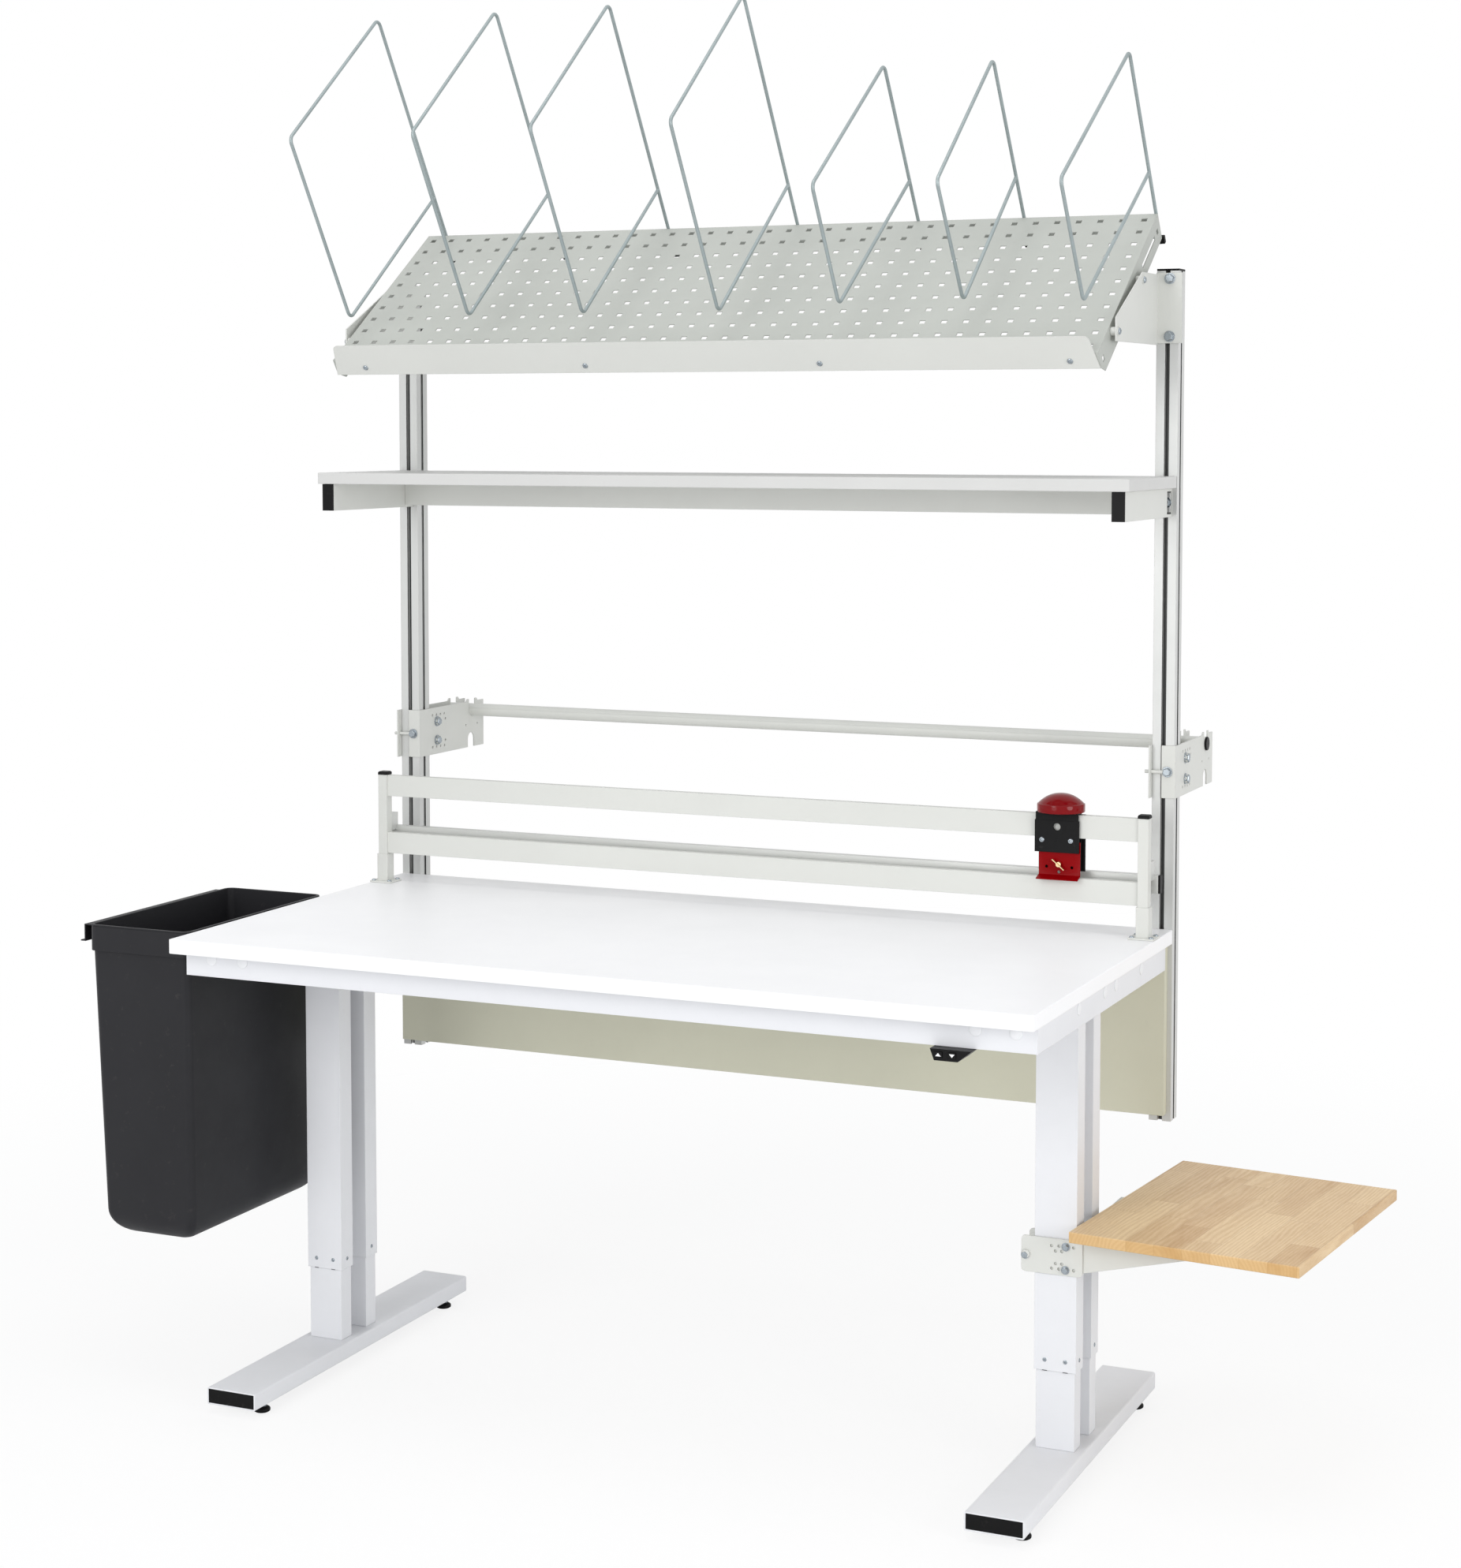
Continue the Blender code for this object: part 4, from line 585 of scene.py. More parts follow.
def set_out(thing, look, body, stands_for=()):
    if thing.type == "MESH":
        thing.data.shade_smooth()
        thing.data.set_sharp_from_angle(angle=math.radians(36))
    thing.data.materials.clear()
    thing.data.materials.append(LOOKS[look])
    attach(thing, body)
    if stands_for:
        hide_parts(*stands_for)
    MADE.append(thing.name)
    return thing


# %% Fasteners
def hex_bolt(bm, spot, way, across=0.013, high=0.0055, turn=0.3):
    """A hexagon head with a rounded top, on a flat washer."""
    r = across / 2 / math.cos(math.pi / 6)
    washer = 0.0012
    turned(bm, ((0, 0), (r * 1.24, 0), (r * 1.24, washer), (0, washer)), facing(spot, way))
    head = ((0, washer), (r, washer), (r, washer + high * 0.8), (r * 0.84, washer + high), (0, washer + high))
    turned(bm, head, facing(spot, way), sides=6, phase=turn)


def pan_screw(bm, spot, way, radius=0.0045, high=0.0026):
    """A low round head with a socket in its middle."""
    turned(bm, ((0, 0), (radius, 0), (radius, high * 0.35), (radius * 0.86, high * 0.8),
                (radius * 0.62, high), (radius * 0.45, high), (radius * 0.36, high * 0.3),
                (0, high * 0.25)), facing(spot, way))


def push_plug(bm, spot, way, radius=0.010, high=0.0014):
    """A flat button with a soft rim."""
    turned(bm, ((0, 0), (radius, 0), (radius * 0.97, high * 0.6), (radius * 0.82, high), (0, high)),
           facing(spot, way))


# %% Drilling
def pin_holes(bm, spots, way, radius, deep):
    """Short rods that cut round holes, centred on the face that they go through."""
    for spot in spots:
        turned(bm, ((0, -deep), (radius, -deep), (radius, deep), (0, deep)), facing(spot, way), 16)


def carve(thing, cutter):
    """Cuts the cutter's solids out of a piece with one exact Boolean."""
    bmesh.ops.recalc_face_normals(cutter, faces=cutter.faces)
    mesh = bpy.data.meshes.new("drill")
    cutter.to_mesh(mesh)
    cutter.free()
    tool = linked("drill", mesh)
    cutting = thing.modifiers.new("holes", "BOOLEAN")
    cutting.operation = "DIFFERENCE"
    cutting.solver = "EXACT"
    cutting.object = tool
    carved = bpy.data.meshes.new_from_object(thing.evaluated_get(bpy.context.evaluated_depsgraph_get()))
    thing.modifiers.clear()
    thing.data = carved
    bpy.data.objects.remove(tool)


def drilled(node_name, cutter, look, body):
    """A copy of a node with real holes. Its points are welded first, and its flat faces are shaded flat."""
    base = bmesh.new()
    base.from_mesh(frame["nodes"][node_name].data)
    bmesh.ops.remove_doubles(base, verts=base.verts, dist=0.000002)
    bmesh.ops.dissolve_limit(base, angle_limit=math.radians(0.5), verts=base.verts, edges=base.edges)
    thing = finished(node_name + "_drilled", base, look, body, [node_name])
    carve(thing, cutter)
    thing.data.shade_flat()
    return thing


# %% [markdown]
# Apron plugs and column screws
#
# The apron is bolted from inside, and white push-in plugs close its holes. They sit almost flush, so only
# their soft rims catch light. The outer tube of each column has small screws near its lower edge, which
# hold the plastic guides of the inner tube. A tab of the guide shows as a dark dash under each front screw.

# %% Plugs on the apron
APRON_FACE = 0.040
APRON_END = 0.743
PLUG_HIGH = 0.7825
FRONT_PLUGS = (-0.693, -0.6325, 0.647, 0.710)
END_PLUGS = {1: (0.245, 0.385, 0.446, 0.5925), -1: (0.385, 0.446, 0.5925)}
bm = bmesh.new()
for x in FRONT_PLUGS:
    push_plug(bm, at(x, APRON_FACE, PLUG_HIGH), (0, -1, 0))
for side, rows in END_PLUGS.items():
    for y in rows:
        push_plug(bm, at(side * APRON_END, y, PLUG_HIGH), (side, 0, 0))
finished("apron_plugs", bm, "plug", "table")
print("plugs", len(FRONT_PLUGS) + sum(len(rows) for rows in END_PLUGS.values()))

# %% Screws and tabs on the columns
COLUMN_X = 0.6755
COLUMN_HALF = 0.0345
COLUMN_FACES = (0.353, 0.391, 0.436, 0.474)
SCREW_HIGH = 0.192
SCREW_STEP = 0.017
FLAT_SCREW = (0.0034, 0.0010)
TUBE_END = 0.175
TAB_HALF = 0.0040
bm = bmesh.new()
dark = bmesh.new()
for side in (-1, 1):
    for step in (-SCREW_STEP, SCREW_STEP):
        x = side * COLUMN_X + step
        pan_screw(bm, at(x, COLUMN_FACES[0], SCREW_HIGH), (0, -1, 0), *FLAT_SCREW)
        pan_screw(bm, at(x, COLUMN_FACES[3], SCREW_HIGH), (0, 1, 0), *FLAT_SCREW)
        block(dark, at(x - TAB_HALF, COLUMN_FACES[0] - 0.0002, TUBE_END - 0.0006),
              at(x + TAB_HALF, COLUMN_FACES[0] + 0.0010, TUBE_END + 0.0004))
    for y0, y1 in (COLUMN_FACES[:2], COLUMN_FACES[2:]):
        for way in (-1, 1):
            pan_screw(bm, at(side * COLUMN_X + way * COLUMN_HALF, (y0 + y1) / 2, SCREW_HIGH),
                      (way, 0, 0), *FLAT_SCREW)
finished("column_screws", bm, "zinc", "table")
finished("guide_tabs", dark, "black_plastic", "table")
print("pieces", MADE)

# %% [markdown]
# Levelling glides
#
# Each foot stands on two glides: a black foot with a soft edge, a hexagon to turn it with a spanner, and a
# threaded stud. The thread is a turned profile whose radius goes up and down, which at this size looks the
# same as a real thread and needs far fewer faces.

# %% Glides
GLIDES = ("left_front", "left_rear", "right_front", "right_rear")
FOOT_PROFILE = ((0, 0), (0.0118, 0), (0.0136, 0.0012), (0.0140, 0.0026), (0.0140, 0.0046),
                (0.0132, 0.0062), (0.0104, 0.0080), (0.0090, 0.0090), (0, 0.0090))
NUT_PROFILE = ((0, 0.0090), (0.0080, 0.0090), (0.0084, 0.0096), (0.0084, 0.0128), (0.0076, 0.0135),
               (0, 0.0135))
THREAD_FROM = 0.0135
PITCH = 0.0011
THREADS = 11
for name in GLIDES:
    body = "glide_" + name
    low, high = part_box(body)
    spot = Vector(((low.x + high.x) / 2, (low.y + high.y) / 2, 0))
    bm = bmesh.new()
    turned(bm, FOOT_PROFILE, Matrix.Translation(spot), 40)
    finished(body + "_foot", bm, "black_plastic", body, [body])
    bm = bmesh.new()
    turned(bm, NUT_PROFILE, Matrix.Translation(spot), 6)
    thread = [(0, THREAD_FROM)]
    for k in range(THREADS):
        thread += [(0.0043, THREAD_FROM + PITCH * k), (0.0049, THREAD_FROM + 0.0005 + PITCH * k)]
    turned(bm, thread + [(0, THREAD_FROM + PITCH * THREADS)], Matrix.Translation(spot), 20)
    finished(body + "_stud", bm, "zinc", body)
print("glide top", round(high.z, 4), "pieces", len(MADE))

# %% [markdown]
# Tilted shelf: screws, clips and wire dividers
#
# The punched shelf leans by 35 degrees. The pieces on it are placed by how far up its slope they are and
# how high above the sheet. The dividers are bent from 6 mm wire, so they are drawn as curves with a round
# section and a tight smooth bend. Light runs along a round wire much better than along facets.

# %% On the slope
SLOPE = math.radians(35)
SHELF_EDGE = (0.4515, 1.786)
SLOPE_LONG = 0.418
HALF_TRAY = 0.703


def on_slope(x, along, high):
    return at(x, SHELF_EDGE[0] + along * math.cos(SLOPE) - high * math.sin(SLOPE),
              SHELF_EDGE[1] + along * math.sin(SLOPE) + high * math.cos(SLOPE))


# %% Shelf screws
LIP_SCREWS = (-0.640, -0.205, 0.227, 0.655)
BRACKET_FACE = 0.7165
BRACKET_SCREWS = ((0.666, 1.909), (0.522, 1.821))
POST_BOLT = (0.735, 0.7567)
POST_BOLTS_HIGH = (1.915, 1.819)
bm = bmesh.new()
down_slope = on_slope(0, -1, 0) - on_slope(0, 0, 0)
for x in LIP_SCREWS:
    pan_screw(bm, on_slope(x, -0.0018, -0.0153), down_slope, 0.0050, 0.0020)
for side in (-1, 1):
    for y, z in BRACKET_SCREWS:
        pan_screw(bm, at(side * BRACKET_FACE, y, z), (side, 0, 0), 0.0055, 0.0030)
    for z in POST_BOLTS_HIGH:
        hex_bolt(bm, at(side * POST_BOLT[0], POST_BOLT[1], z), (0, -1, 0))
finished("shelf_screws", bm, "zinc", "table")
print("screws on the shelf", len(LIP_SCREWS) + 2 * (len(BRACKET_SCREWS) + len(POST_BOLTS_HIGH)))

# %% Sizes of the wires
# A divider is named by its place across the shelf, the kind of its top corner, its front corner and its low
# corner. Corners are shares of the shelf's slope and of the top corner's height.
WIRE_R = 0.003
BEND = 0.012
TOPS = {"tall": (0.4369, 0.4398), "short": (0.4248, 0.3007)}
DIVIDERS = (
    (-0.950, "tall", (0.143, 0.937), (0.105, 0.133)),
    (-0.610, "tall", (0.143, 0.937), (0.105, 0.133)),
    (-0.2945, "tall", (0.143, 0.937), (0.105, 0.133)),
    (0.066, "tall", (0.143, 0.937), (0.105, 0.133)),
    (0.390, "short", (0.083, 0.996), (0.059, 0.271)),
    (0.664, "short", (0.180, 0.917), (0.182, 0.172)),
    (0.994, "short", (-0.024, 1.063), (-0.027, 0.339)),
)
FOOT_LINE = SLOPE_LONG + WIRE_R + 0.0003
FOOT_LOW = -0.060
JOINT = 0.078
print("dividers", len(DIVIDERS))


# %% Bent wire
def bent_path(corners, radius, steps=8):
    """A path through the corners, with a round bend at each inner one."""
    path = [corners[0]]
    for a, b, c in zip(corners, corners[1:], corners[2:]):
        back, on = (a - b).normalized(), (c - b).normalized()
        half = back.angle(on) / 2
        reach = radius / math.tan(half)
        centre = b + (back + on).normalized() * radius / math.sin(half)
        first, last = b + back * reach - centre, b + on * reach - centre
        whole = first.angle(last)
        for k in range(steps + 1):
            start, stop = math.sin((1 - k / steps) * whole), math.sin(k / steps * whole)
            path.append(centre + (first * start + last * stop) / math.sin(whole))
    return path + [corners[-1]]


def wire(name, path, stands_for):
    """A round wire along a path."""
    curve = bpy.data.curves.new(name, "CURVE")
    curve.dimensions = "3D"
    curve.bevel_depth = WIRE_R
    curve.bevel_resolution = 4
    curve.use_fill_caps = True
    line = curve.splines.new("POLY")
    line.points.add(len(path) - 1)
    for point, spot in zip(line.points, path):
        point.co = (*spot, 1)
    line.use_smooth = True
    return set_out(linked(name, curve), "wire", "table", stands_for)


for number, (share, kind, front, low) in enumerate(DIVIDERS, 1):
    along, high = TOPS[kind]
    lean = (along - FOOT_LINE) / high
    bends = [(FOOT_LINE, 0.0015), (along, high), (front[0] * SLOPE_LONG, front[1] * high),
             (low[0] * SLOPE_LONG, low[1] * high), (FOOT_LINE + lean * JOINT, JOINT)]
    path = bent_path([Vector((0, *spot)) for spot in bends], BEND)
    path = [Vector((0, FOOT_LINE, FOOT_LOW))] + path
    wire(f"wire_divider_{number}", [on_slope(share * HALF_TRAY, p.y, p.z) for p in path],
         [f"divider_{number}"])
print("points in the last wire", len(path))

# %% Clips that hold the wires behind the shelf
CLIP_LOW = (-0.008, 0.0003, -0.0600)
CLIP_HIGH = (0.008, 0.0082, -0.0460)
bm = bmesh.new()
for share, *_ in DIVIDERS:
    clip_spot = on_slope(share * HALF_TRAY, SLOPE_LONG, 0)
    block(bm, CLIP_LOW, CLIP_HIGH, Matrix.Translation(clip_spot) @ Matrix.Rotation(SLOPE, 4, "X"))
finished("divider_clips", bm, "black_plastic", "table", bevel=0.0012)
print("pieces", len(MADE))

# %% [markdown]
# Shelf arms
#
# Each arm of the flat shelf is a tube that hooks into the slot of its post. A window in the arm's outer
# side shows the bolt that clamps it, the pale plate under its head and the dark inside of the arm. The
# inside is a thin black sheet behind them, because little light gets into the real arm.

# %% Bolt, plate and shade in the window
ARM_X = 0.7335
ARM_PLATE_HALF = 0.0070
SHADE = (0.7225, 0.7245)
bm = bmesh.new()
pale = bmesh.new()
dark = bmesh.new()
for side in (-1, 1):
    hex_bolt(bm, at(side * ARM_X, 0.7520, 1.542), (0, -1, 0), 0.013, 0.0060)
    block(pale, at(side * ARM_X - ARM_PLATE_HALF, 0.7522, 1.5255),
          at(side * ARM_X + ARM_PLATE_HALF, 0.7550, 1.5585))
    near, far = sorted(side * x for x in SHADE)
    block(dark, at(near, 0.7290, 1.5212), at(far, 0.7572, 1.5620))
finished("shelf_arm_bolts", bm, "zinc", "table")
finished("shelf_arm_shade", dark, "black_plastic", "table")
finished("shelf_arm_plates", pale, "aluminium", "table", bevel=0.0006)
print("pieces", len(MADE))

# %% [markdown]
# Film cutter
#
# A frame of painted square tube stands on the worktop, and behind it runs an aluminium rail. Plastic caps
# close the uprights and the rail, and four small screws hold each footing. A cap is a stack of rounded
# squares, the upper ones smaller, so that its edge is soft.

# %% Cutter trim
CUTTER_X = 0.728
CUTTER_Y = 0.660
CAP_STEPS = ((0.0088, 1.0213), (0.0100, 1.0216), (0.0100, 1.0252), (0.0086, 1.0272))
CAP_ROUND = 0.0022
FOOTING_TOP = 0.8233
FOOTING_SCREW = (0.0165, 0.0145)
RAIL_CAP = (0.7453, 0.7485)
bm = bmesh.new()
zinc = bmesh.new()
for side in (-1, 1):
    x = side * CUTTER_X
    loops = []
    for half, z in CAP_STEPS:
        outline = rounded_rect(x - half, CUTTER_Y - half, x + half, CUTTER_Y + half, CAP_ROUND, 4)
        loops.append([at(a, b, z) for a, b in outline])
    loft(bm, loops)
    for across, deep in ((-1, -1), (1, -1), (-1, 1), (1, 1)):
        spot = at(x + across * FOOTING_SCREW[0], CUTTER_Y + deep * FOOTING_SCREW[1], FOOTING_TOP)
        pan_screw(zinc, spot, (0, 0, 1), 0.0042, 0.0026)
    ends = sorted(side * end for end in RAIL_CAP)
    block(bm, at(ends[0], 0.6839, 0.8928), at(ends[1], 0.6981, 0.9232))
finished("cutter_caps", bm, "black_plastic", "table")
finished("footing_screws", zinc, "zinc", "table")
print("pieces", len(MADE))

# %% [markdown]
# Slide and blade guard
#
# The slide is a black plate bent over the upper bar. It is wider over its lower part, has two screws and a
# peep hole through which the bar shows, and carries a red guard in front of the blade. The guard is sheet
# steel: its line is drawn once from the side, with the bend at its toe, and pulled to its width. The holes
# are cut afterwards, as on a real sheet. The slide's back plate is trimmed so that it ends beside the guard.

# %% Slide: plates, screws and holes
SLIDE_X = 0.580
SLIDE_FACE = 0.6483
SLIDE_HALF = 0.0385
SLIDE_LOW, SLIDE_HIGH = 0.9568, 1.0110
SLIDE_SCREWS = (0.5545, 0.6045)
SLIDE_SCREW_HIGH = 0.9775
PEEP_HIGH = 1.0000
PEEP_R = 0.0063
zinc = bmesh.new()
for x in SLIDE_SCREWS:
    pan_screw(zinc, at(x, SLIDE_FACE - 0.0003, SLIDE_SCREW_HIGH), (0, -1, 0), 0.0048, 0.0034)
finished("slide_screws", zinc, "zinc", "carriage")
cutter = bmesh.new()
block(cutter, at(SLIDE_X - 0.060, 0.6664, 0.900), at(SLIDE_X - SLIDE_HALF + 0.0015, 0.6700, 1.0212))
drilled("carriage", cutter, "black_plastic", "carriage")
bm = bmesh.new()
block(bm, at(SLIDE_X - SLIDE_HALF, SLIDE_FACE - 0.0003, SLIDE_LOW),
      at(SLIDE_X + SLIDE_HALF, SLIDE_FACE + 0.0028, SLIDE_HIGH))
wide_plate = finished("slide_wide_plate", bm, "black_plastic", "carriage")
cutter = bmesh.new()
pin_holes(cutter, [at(SLIDE_X, SLIDE_FACE, SLIDE_SCREW_HIGH)], (0, -1, 0), 0.0028, 0.0060)
turned(cutter, ((0, -0.008), (PEEP_R, -0.008), (PEEP_R, 0.008), (0, 0.008)),
       facing(at(SLIDE_X, SLIDE_FACE, PEEP_HIGH), (0, -1, 0)), 32)
carve(wide_plate, cutter)
print("pieces", len(MADE))

# %% Blade guard with a bent toe
GUARD_X = 0.584
GUARD_HALF = 0.036
GUARD_MIDDLE = 0.6526
GUARD_HOLES = ((0.5615, 0.932), (0.6055, 0.932), (0.583, 0.9235))
WING_HIGH = 0.937
GUARD_LINE = ((0.6536, 0.9750), (0.6536, 0.9182), (0.6528, 0.9168), (0.6362, 0.9120), (0.6352, 0.9126),
              (0.6350, 0.9138), (0.6510, 0.9186), (0.6516, 0.9196), (0.6516, 0.9750))
bm = bmesh.new()
loft(bm, [[at(x, y, z) for y, z in GUARD_LINE] for x in (GUARD_X - GUARD_HALF, GUARD_X + GUARD_HALF)])
guard = finished("guard_plate", bm, "red", "carriage", ["blade_guard"])
cutter = bmesh.new()
pin_holes(cutter, [at(x, GUARD_MIDDLE, z) for x, z in GUARD_HOLES], (0, -1, 0), 0.0026, 0.0040)
pin_holes(cutter, [at(GUARD_X, GUARD_MIDDLE, WING_HIGH)], (0, -1, 0), 0.0029, 0.0040)
carve(guard, cutter)
print("pieces", len(MADE))

# %% [markdown]
# Red dome
#
# The slide is pushed by a turned grip, painted with a deep gloss. Below it has an upright band, and above
# it a crown that is flatter in the middle than a ball. A power curve gives that crown, and many short steps
# keep the highlights on it round.

# %% Dome
DOME_R = 0.0403
BAND_TOP = 0.0148
CROWN_R = DOME_R - 0.0018
CROWN_POWER = 2.3
CROWN_STEPS = 20
low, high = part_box("dome_grip")
middle = Vector(((low.x + high.x) / 2, (low.y + high.y) / 2, low.z))
tall = 0.93 * (high.z - low.z)
profile = [(0, 0), (CROWN_R, 0), (DOME_R - 0.0004, 0.0007), (DOME_R, 0.0020),
           (DOME_R, BAND_TOP - 0.0020), (DOME_R - 0.0005, BAND_TOP - 0.0006), (CROWN_R, BAND_TOP)]
for k in range(1, CROWN_STEPS + 1):
    share = 1 - k / CROWN_STEPS
    profile.append((CROWN_R * share, BAND_TOP + (tall - BAND_TOP) * (1 - share ** CROWN_POWER)))
bm = bmesh.new()
turned(bm, profile, Matrix.Translation(middle), 80)
finished("dome", bm, "dome", "carriage", ["dome_grip"])
print("dome", tuple(round(v, 4) for v in middle), "tall", round(tall, 4))

# %% [markdown]
# Roll holders and tube
#
# A holder is a pair of plates bolted round the post. Each plate has rows of small holes round its bolts,
# so that the roll can be levelled. They are drilled as real holes, because dark discs would shine like
# paint from the side. The tube has black plugs in its ends and a raised seam, which stops short of the
# hooks so that the tube can turn in them.

# %% Holder plates, bolts and nuts
HOLDERS = {"left": -0.7092, "right": 0.7528}
BOLT_LINE = 0.8225
BOLTS_HIGH = ((1.0700, -1), (1.1060, 1))
HOLE_STEPS = (-0.0165, -0.0015, 0.0135, 0.0285)
RIVETS = ((0.935, 1.0875), (0.980, 1.0875))
FAR_PLATE = 0.0436
HOLDER_BOLT = (0.0135, 0.0062)
zinc = bmesh.new()
for name, face in HOLDERS.items():
    spots = []
    for z, up in BOLTS_HIGH:
        hex_bolt(zinc, at(face, BOLT_LINE, z), (1, 0, 0), *HOLDER_BOLT)
        hex_bolt(zinc, at(face - FAR_PLATE, BOLT_LINE, z), (-1, 0, 0), *HOLDER_BOLT)
        spots += [at(face, BOLT_LINE + step, z + up * 0.0125) for step in HOLE_STEPS]
        spots.append(at(face, BOLT_LINE + 0.0325, z + up * 0.0025))
    cutter = bmesh.new()
    pin_holes(cutter, spots, (1, 0, 0), 0.0026, 0.0040)
    pin_holes(cutter, [at(face, y, z) for y, z in RIVETS], (1, 0, 0), 0.0020, 0.0040)
    drilled("roll_holder_" + name, cutter, "grey_steel", "table")
    hex_bolt(zinc, at(face - 0.0140, 0.7567, 1.088), (0, -1, 0), 0.0125, 0.0055)
finished("holder_bolts", zinc, "zinc", "table")
print("holes in a holder", len(spots) + len(RIVETS))

# %% Roll tube, its seam and its plugs
TUBE_R = 0.012
TUBE_SIDES = 48
PLUG = 0.0038
SEAM_AT = math.radians(158)
low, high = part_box("roll_tube")
axis = Vector((0, (low.y + high.y) / 2, (low.z + high.z) / 2))
left, right = low.x, high.x
bm = bmesh.new()
loops = []
for x, radius in ((left, TUBE_R - 0.0012), (left, TUBE_R - 0.0003), (left + 0.0003, TUBE_R),
                  (right - 0.0003, TUBE_R), (right, TUBE_R - 0.0003), (right, TUBE_R - 0.0012)):
    loops.append([axis + Vector((x, radius * math.cos(t), radius * math.sin(t)))
                  for t in (2 * math.pi * k / TUBE_SIDES for k in range(TUBE_SIDES))])
loft(bm, loops)
finished("tube", bm, "grey_steel", "roll", ["roll_tube"])
bm = bmesh.new()
place = Matrix.Translation(axis) @ Matrix.Rotation(SEAM_AT, 4, "X")
seam_left = at(HOLDERS["left"] + 0.004, 0, 0).x
seam_right = at(HOLDERS["right"] - FAR_PLATE - 0.006, 0, 0).x
block(bm, (seam_left, TUBE_R - 0.0006, -0.0007), (seam_right, TUBE_R + 0.0003, 0.0007), place)
finished("tube_seam", bm, "grey_steel", "roll", bevel=0.0002)
for name, x, way, stands_for in (("left", left, -1, []), ("right", right, 1, ["roll_plug"])):
    bm = bmesh.new()
    cap = ((0, 0.0002), (TUBE_R - 0.0003, 0.0002), (TUBE_R, 0.0008), (TUBE_R, PLUG - 0.0010),
           (TUBE_R - 0.0010, PLUG), (0, PLUG))
    turned(bm, cap, facing(axis + Vector((x, 0, 0)), (way, 0, 0)), 40)
    finished("tube_plug_" + name, bm, "black_plastic", "roll", stands_for)
print("roll from", round(left, 4), "to", round(right, 4))

# %% [markdown]
# Clamp of the side board
#
# The side board's arm is held by a plate across the right column. Its holes let it be bolted to columns of
# other widths, and three bolts are in use. Bolts never end up turned alike, so each head differs a little.

# %% Clamp plate
CLAMP_FACE = 0.3497
CLAMP_BOLTS = ((0.6262, 0.359), (0.693, 0.3785), (0.6925, 0.3412))
CLAMP_HOLES = ((0.6697, 0.3782), (0.682, 0.3788), (0.6762, 0.3704), (0.6865, 0.3705), (0.7060, 0.3786),
               (0.670, 0.3418), (0.682, 0.3418), (0.6762, 0.3500), (0.6865, 0.3500), (0.7060, 0.3420))
cutter = bmesh.new()
pin_holes(cutter, [at(x, CLAMP_FACE, z) for x, z in CLAMP_HOLES], (0, -1, 0), 0.0026, 0.0026)
drilled("board_clamp", cutter, "grey_steel", "table")
bm = bmesh.new()
for k, (x, z) in enumerate(CLAMP_BOLTS):
    hex_bolt(bm, at(x, CLAMP_FACE, z), (0, -1, 0), 0.0095, 0.0042, 0.3 + k)
finished("clamp_bolts", bm, "zinc", "table")
print("clamp holes", len(CLAMP_HOLES), "bolts", len(CLAMP_BOLTS))

# %% [markdown]
# Hand switch
#
# Two small keys raise and lower the table. Each has a printed arrow, one up and one down. An arrow is a
# thin solid that stands out by a quarter of a millimetre, so that it stays sharp from close by.

# %% Arrows
ARROW_TIP = 0.0029
ARROW_BASE = -0.0024
ARROW_HALF = 0.0045
ARROW_OUT, ARROW_IN = 0.00025, 0.0002
for name, way in (("button_up", 1), ("button_down", -1)):
    low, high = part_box(name)
    x, z = (low.x + high.x) / 2, (low.z + high.z) / 2
    bm = bmesh.new()
    tip, base = z + ARROW_TIP * way, z + ARROW_BASE * way
    loops = []
    for y in (low.y - ARROW_OUT, low.y + ARROW_IN):
        corners = ((x, tip), (x - ARROW_HALF, base), (x + ARROW_HALF, base))
        loops.append([Vector((a, y, c)) for a, c in corners])
    loft(bm, loops)
    finished(name + "_arrow", bm, "arrow", name)
print("arrows at", round(low.y, 4))

# %% [markdown]
# Waste bin
#
# The bin is one moulded shell: it narrows towards its base, its bottom edge is a wide round, and its rim
# turns out over the hanging band. It is drawn as a stack of rounded rectangles, from the base up the
# outside, over the rim and down the inside. More points in the corners make their highlights smooth.

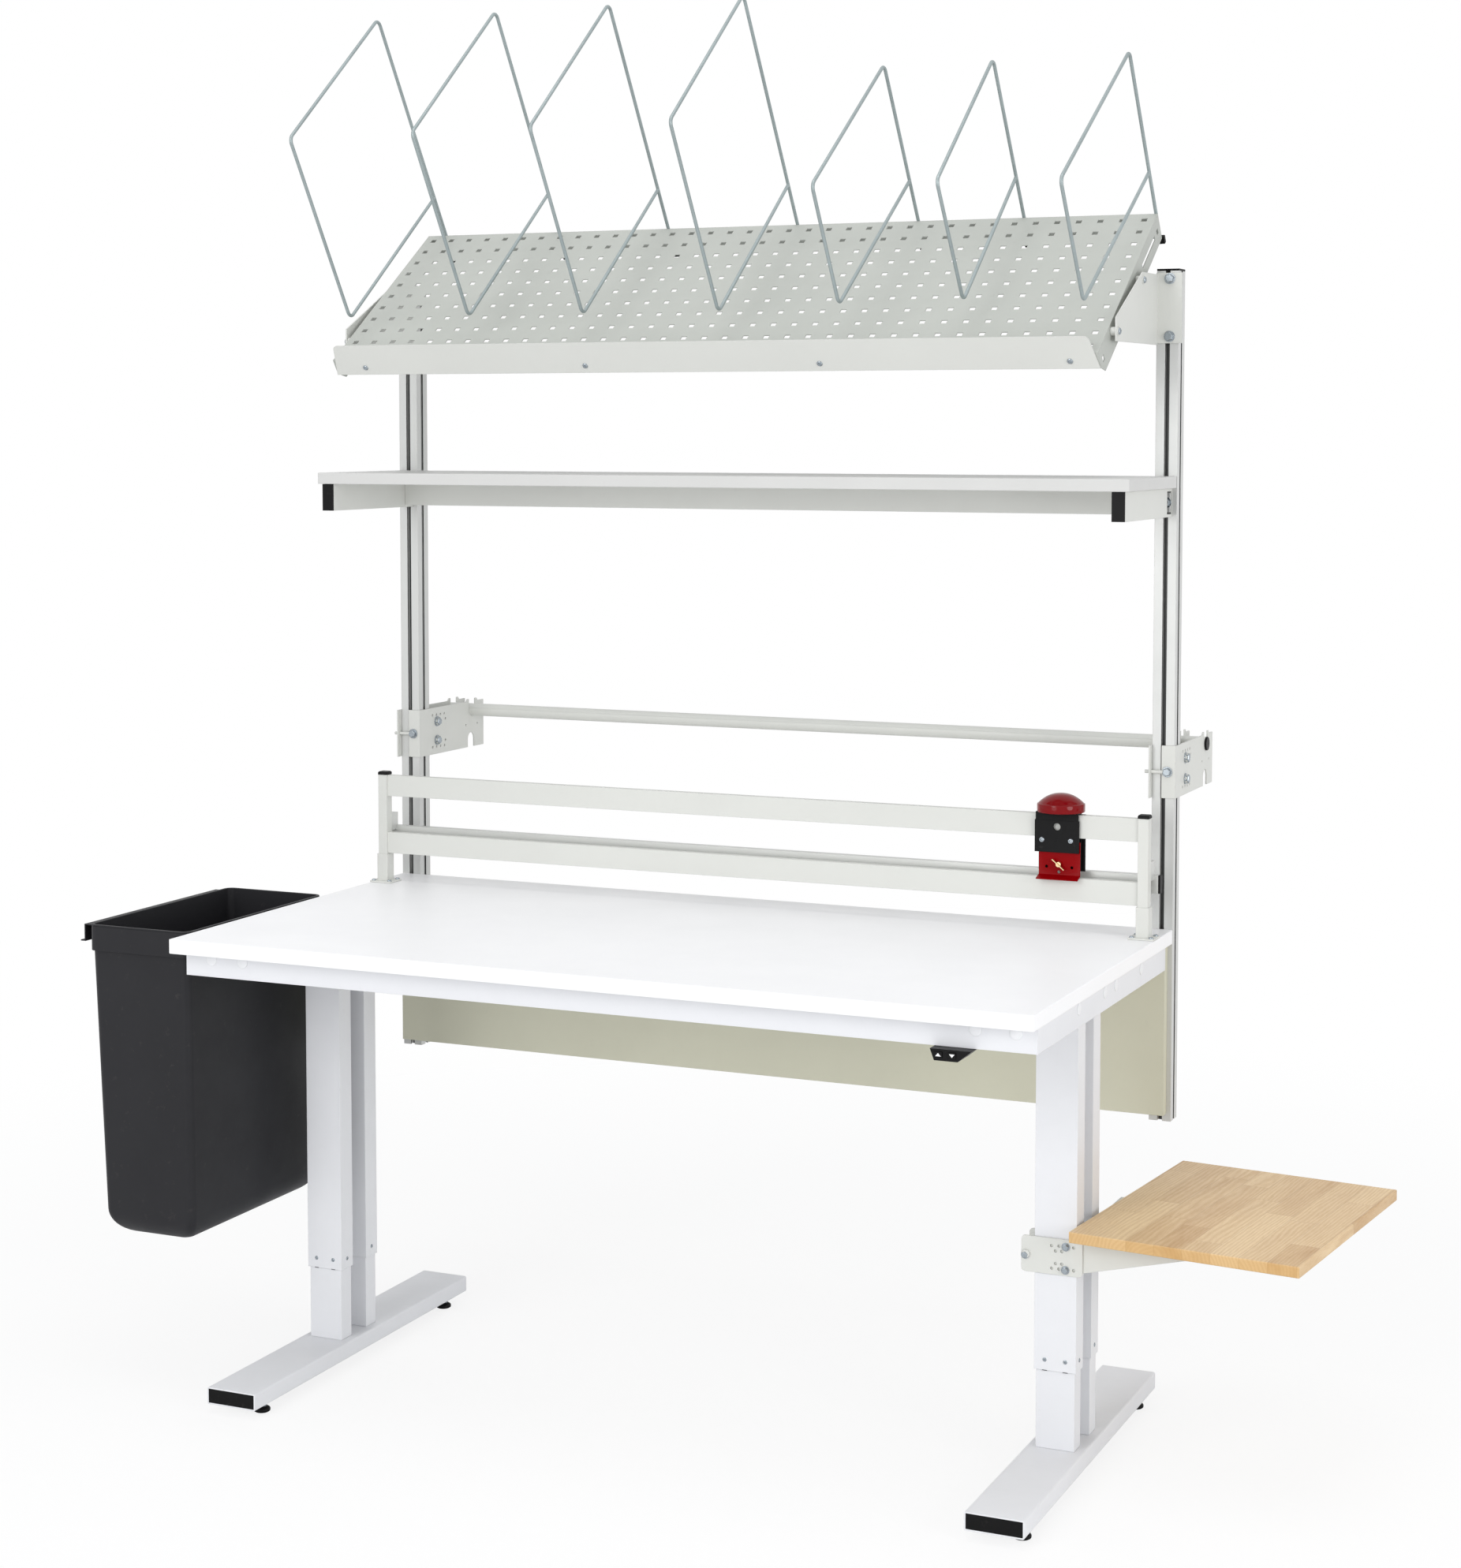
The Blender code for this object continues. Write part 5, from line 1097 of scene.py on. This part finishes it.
# %% Loops of the bin
BIN = {"left": -0.966, "right": -0.762, "near": 0.070, "far": 0.495, "rim": 0.818, "base": 0.278}
BAND = 0.0028
UNDER_RIM = BIN["rim"] - 0.0025
WALL = 0.0025
TAPER = 0.020
DRAFT = 0.006
BASE_ROUND = 0.045
BASE_STEPS = 12
SIDE_STEPS = 8


def bin_loop(z, left, right, near, far, radius):
    return [at(x, y, z) for x, y in rounded_rect(left, near, right, far, radius, 9)]


def shell_loop(z, less, radius):
    """A loop of the shell at a height, drawn in by less, which narrows with the draft of the mould."""
    share = max(0, min(1, (UNDER_RIM - z) / (UNDER_RIM - BIN["base"])))
    side, end = BAND + less, BAND + less + DRAFT * share
    return bin_loop(z, BIN["left"] + side + TAPER * share, BIN["right"] - side,
                    BIN["near"] + end, BIN["far"] - end, radius)


print("bin", BIN)

# %% Bin shell
side_long = UNDER_RIM - BIN["base"] - BASE_ROUND
loops = [shell_loop(BIN["base"] + 0.003, BASE_ROUND + 0.012, 0.010),
         shell_loop(BIN["base"], BASE_ROUND + 0.010, 0.011)]
for k in range(BASE_STEPS + 1):
    t = math.pi / 2 * k / BASE_STEPS
    loops.append(shell_loop(BIN["base"] + BASE_ROUND * (1 - math.cos(t)),
                            BASE_ROUND * (1 - math.sin(t)), 0.014))
for k in range(1, SIDE_STEPS):
    loops.append(shell_loop(BIN["base"] + BASE_ROUND + side_long * k / SIDE_STEPS, 0, 0.014))
loops.append(shell_loop(UNDER_RIM, 0, 0.014))
for less, z in ((0, UNDER_RIM), (0, BIN["rim"] - 0.0007), (0.0008, BIN["rim"])):
    loops.append(bin_loop(z, BIN["left"] + less, BIN["right"] - less, BIN["near"] + less,
                          BIN["far"] - less, 0.016 - less))
loops.append(shell_loop(BIN["rim"], WALL - 0.0006, 0.012))
loops.append(shell_loop(BIN["rim"] - 0.0007, WALL, 0.0115))
inner_round = BASE_ROUND - WALL
for k in range(BASE_STEPS, -1, -1):
    t = math.pi / 2 * k / BASE_STEPS
    loops.append(shell_loop(BIN["base"] + WALL + inner_round * (1 - math.cos(t)),
                            WALL + inner_round * (1 - math.sin(t)), 0.0115))
bm = bmesh.new()
loft(bm, loops)
finished("bin_shell", bm, "bin_plastic", "bin", ["bin"])
print("bin loops", len(loops), "pieces in all", len(MADE))
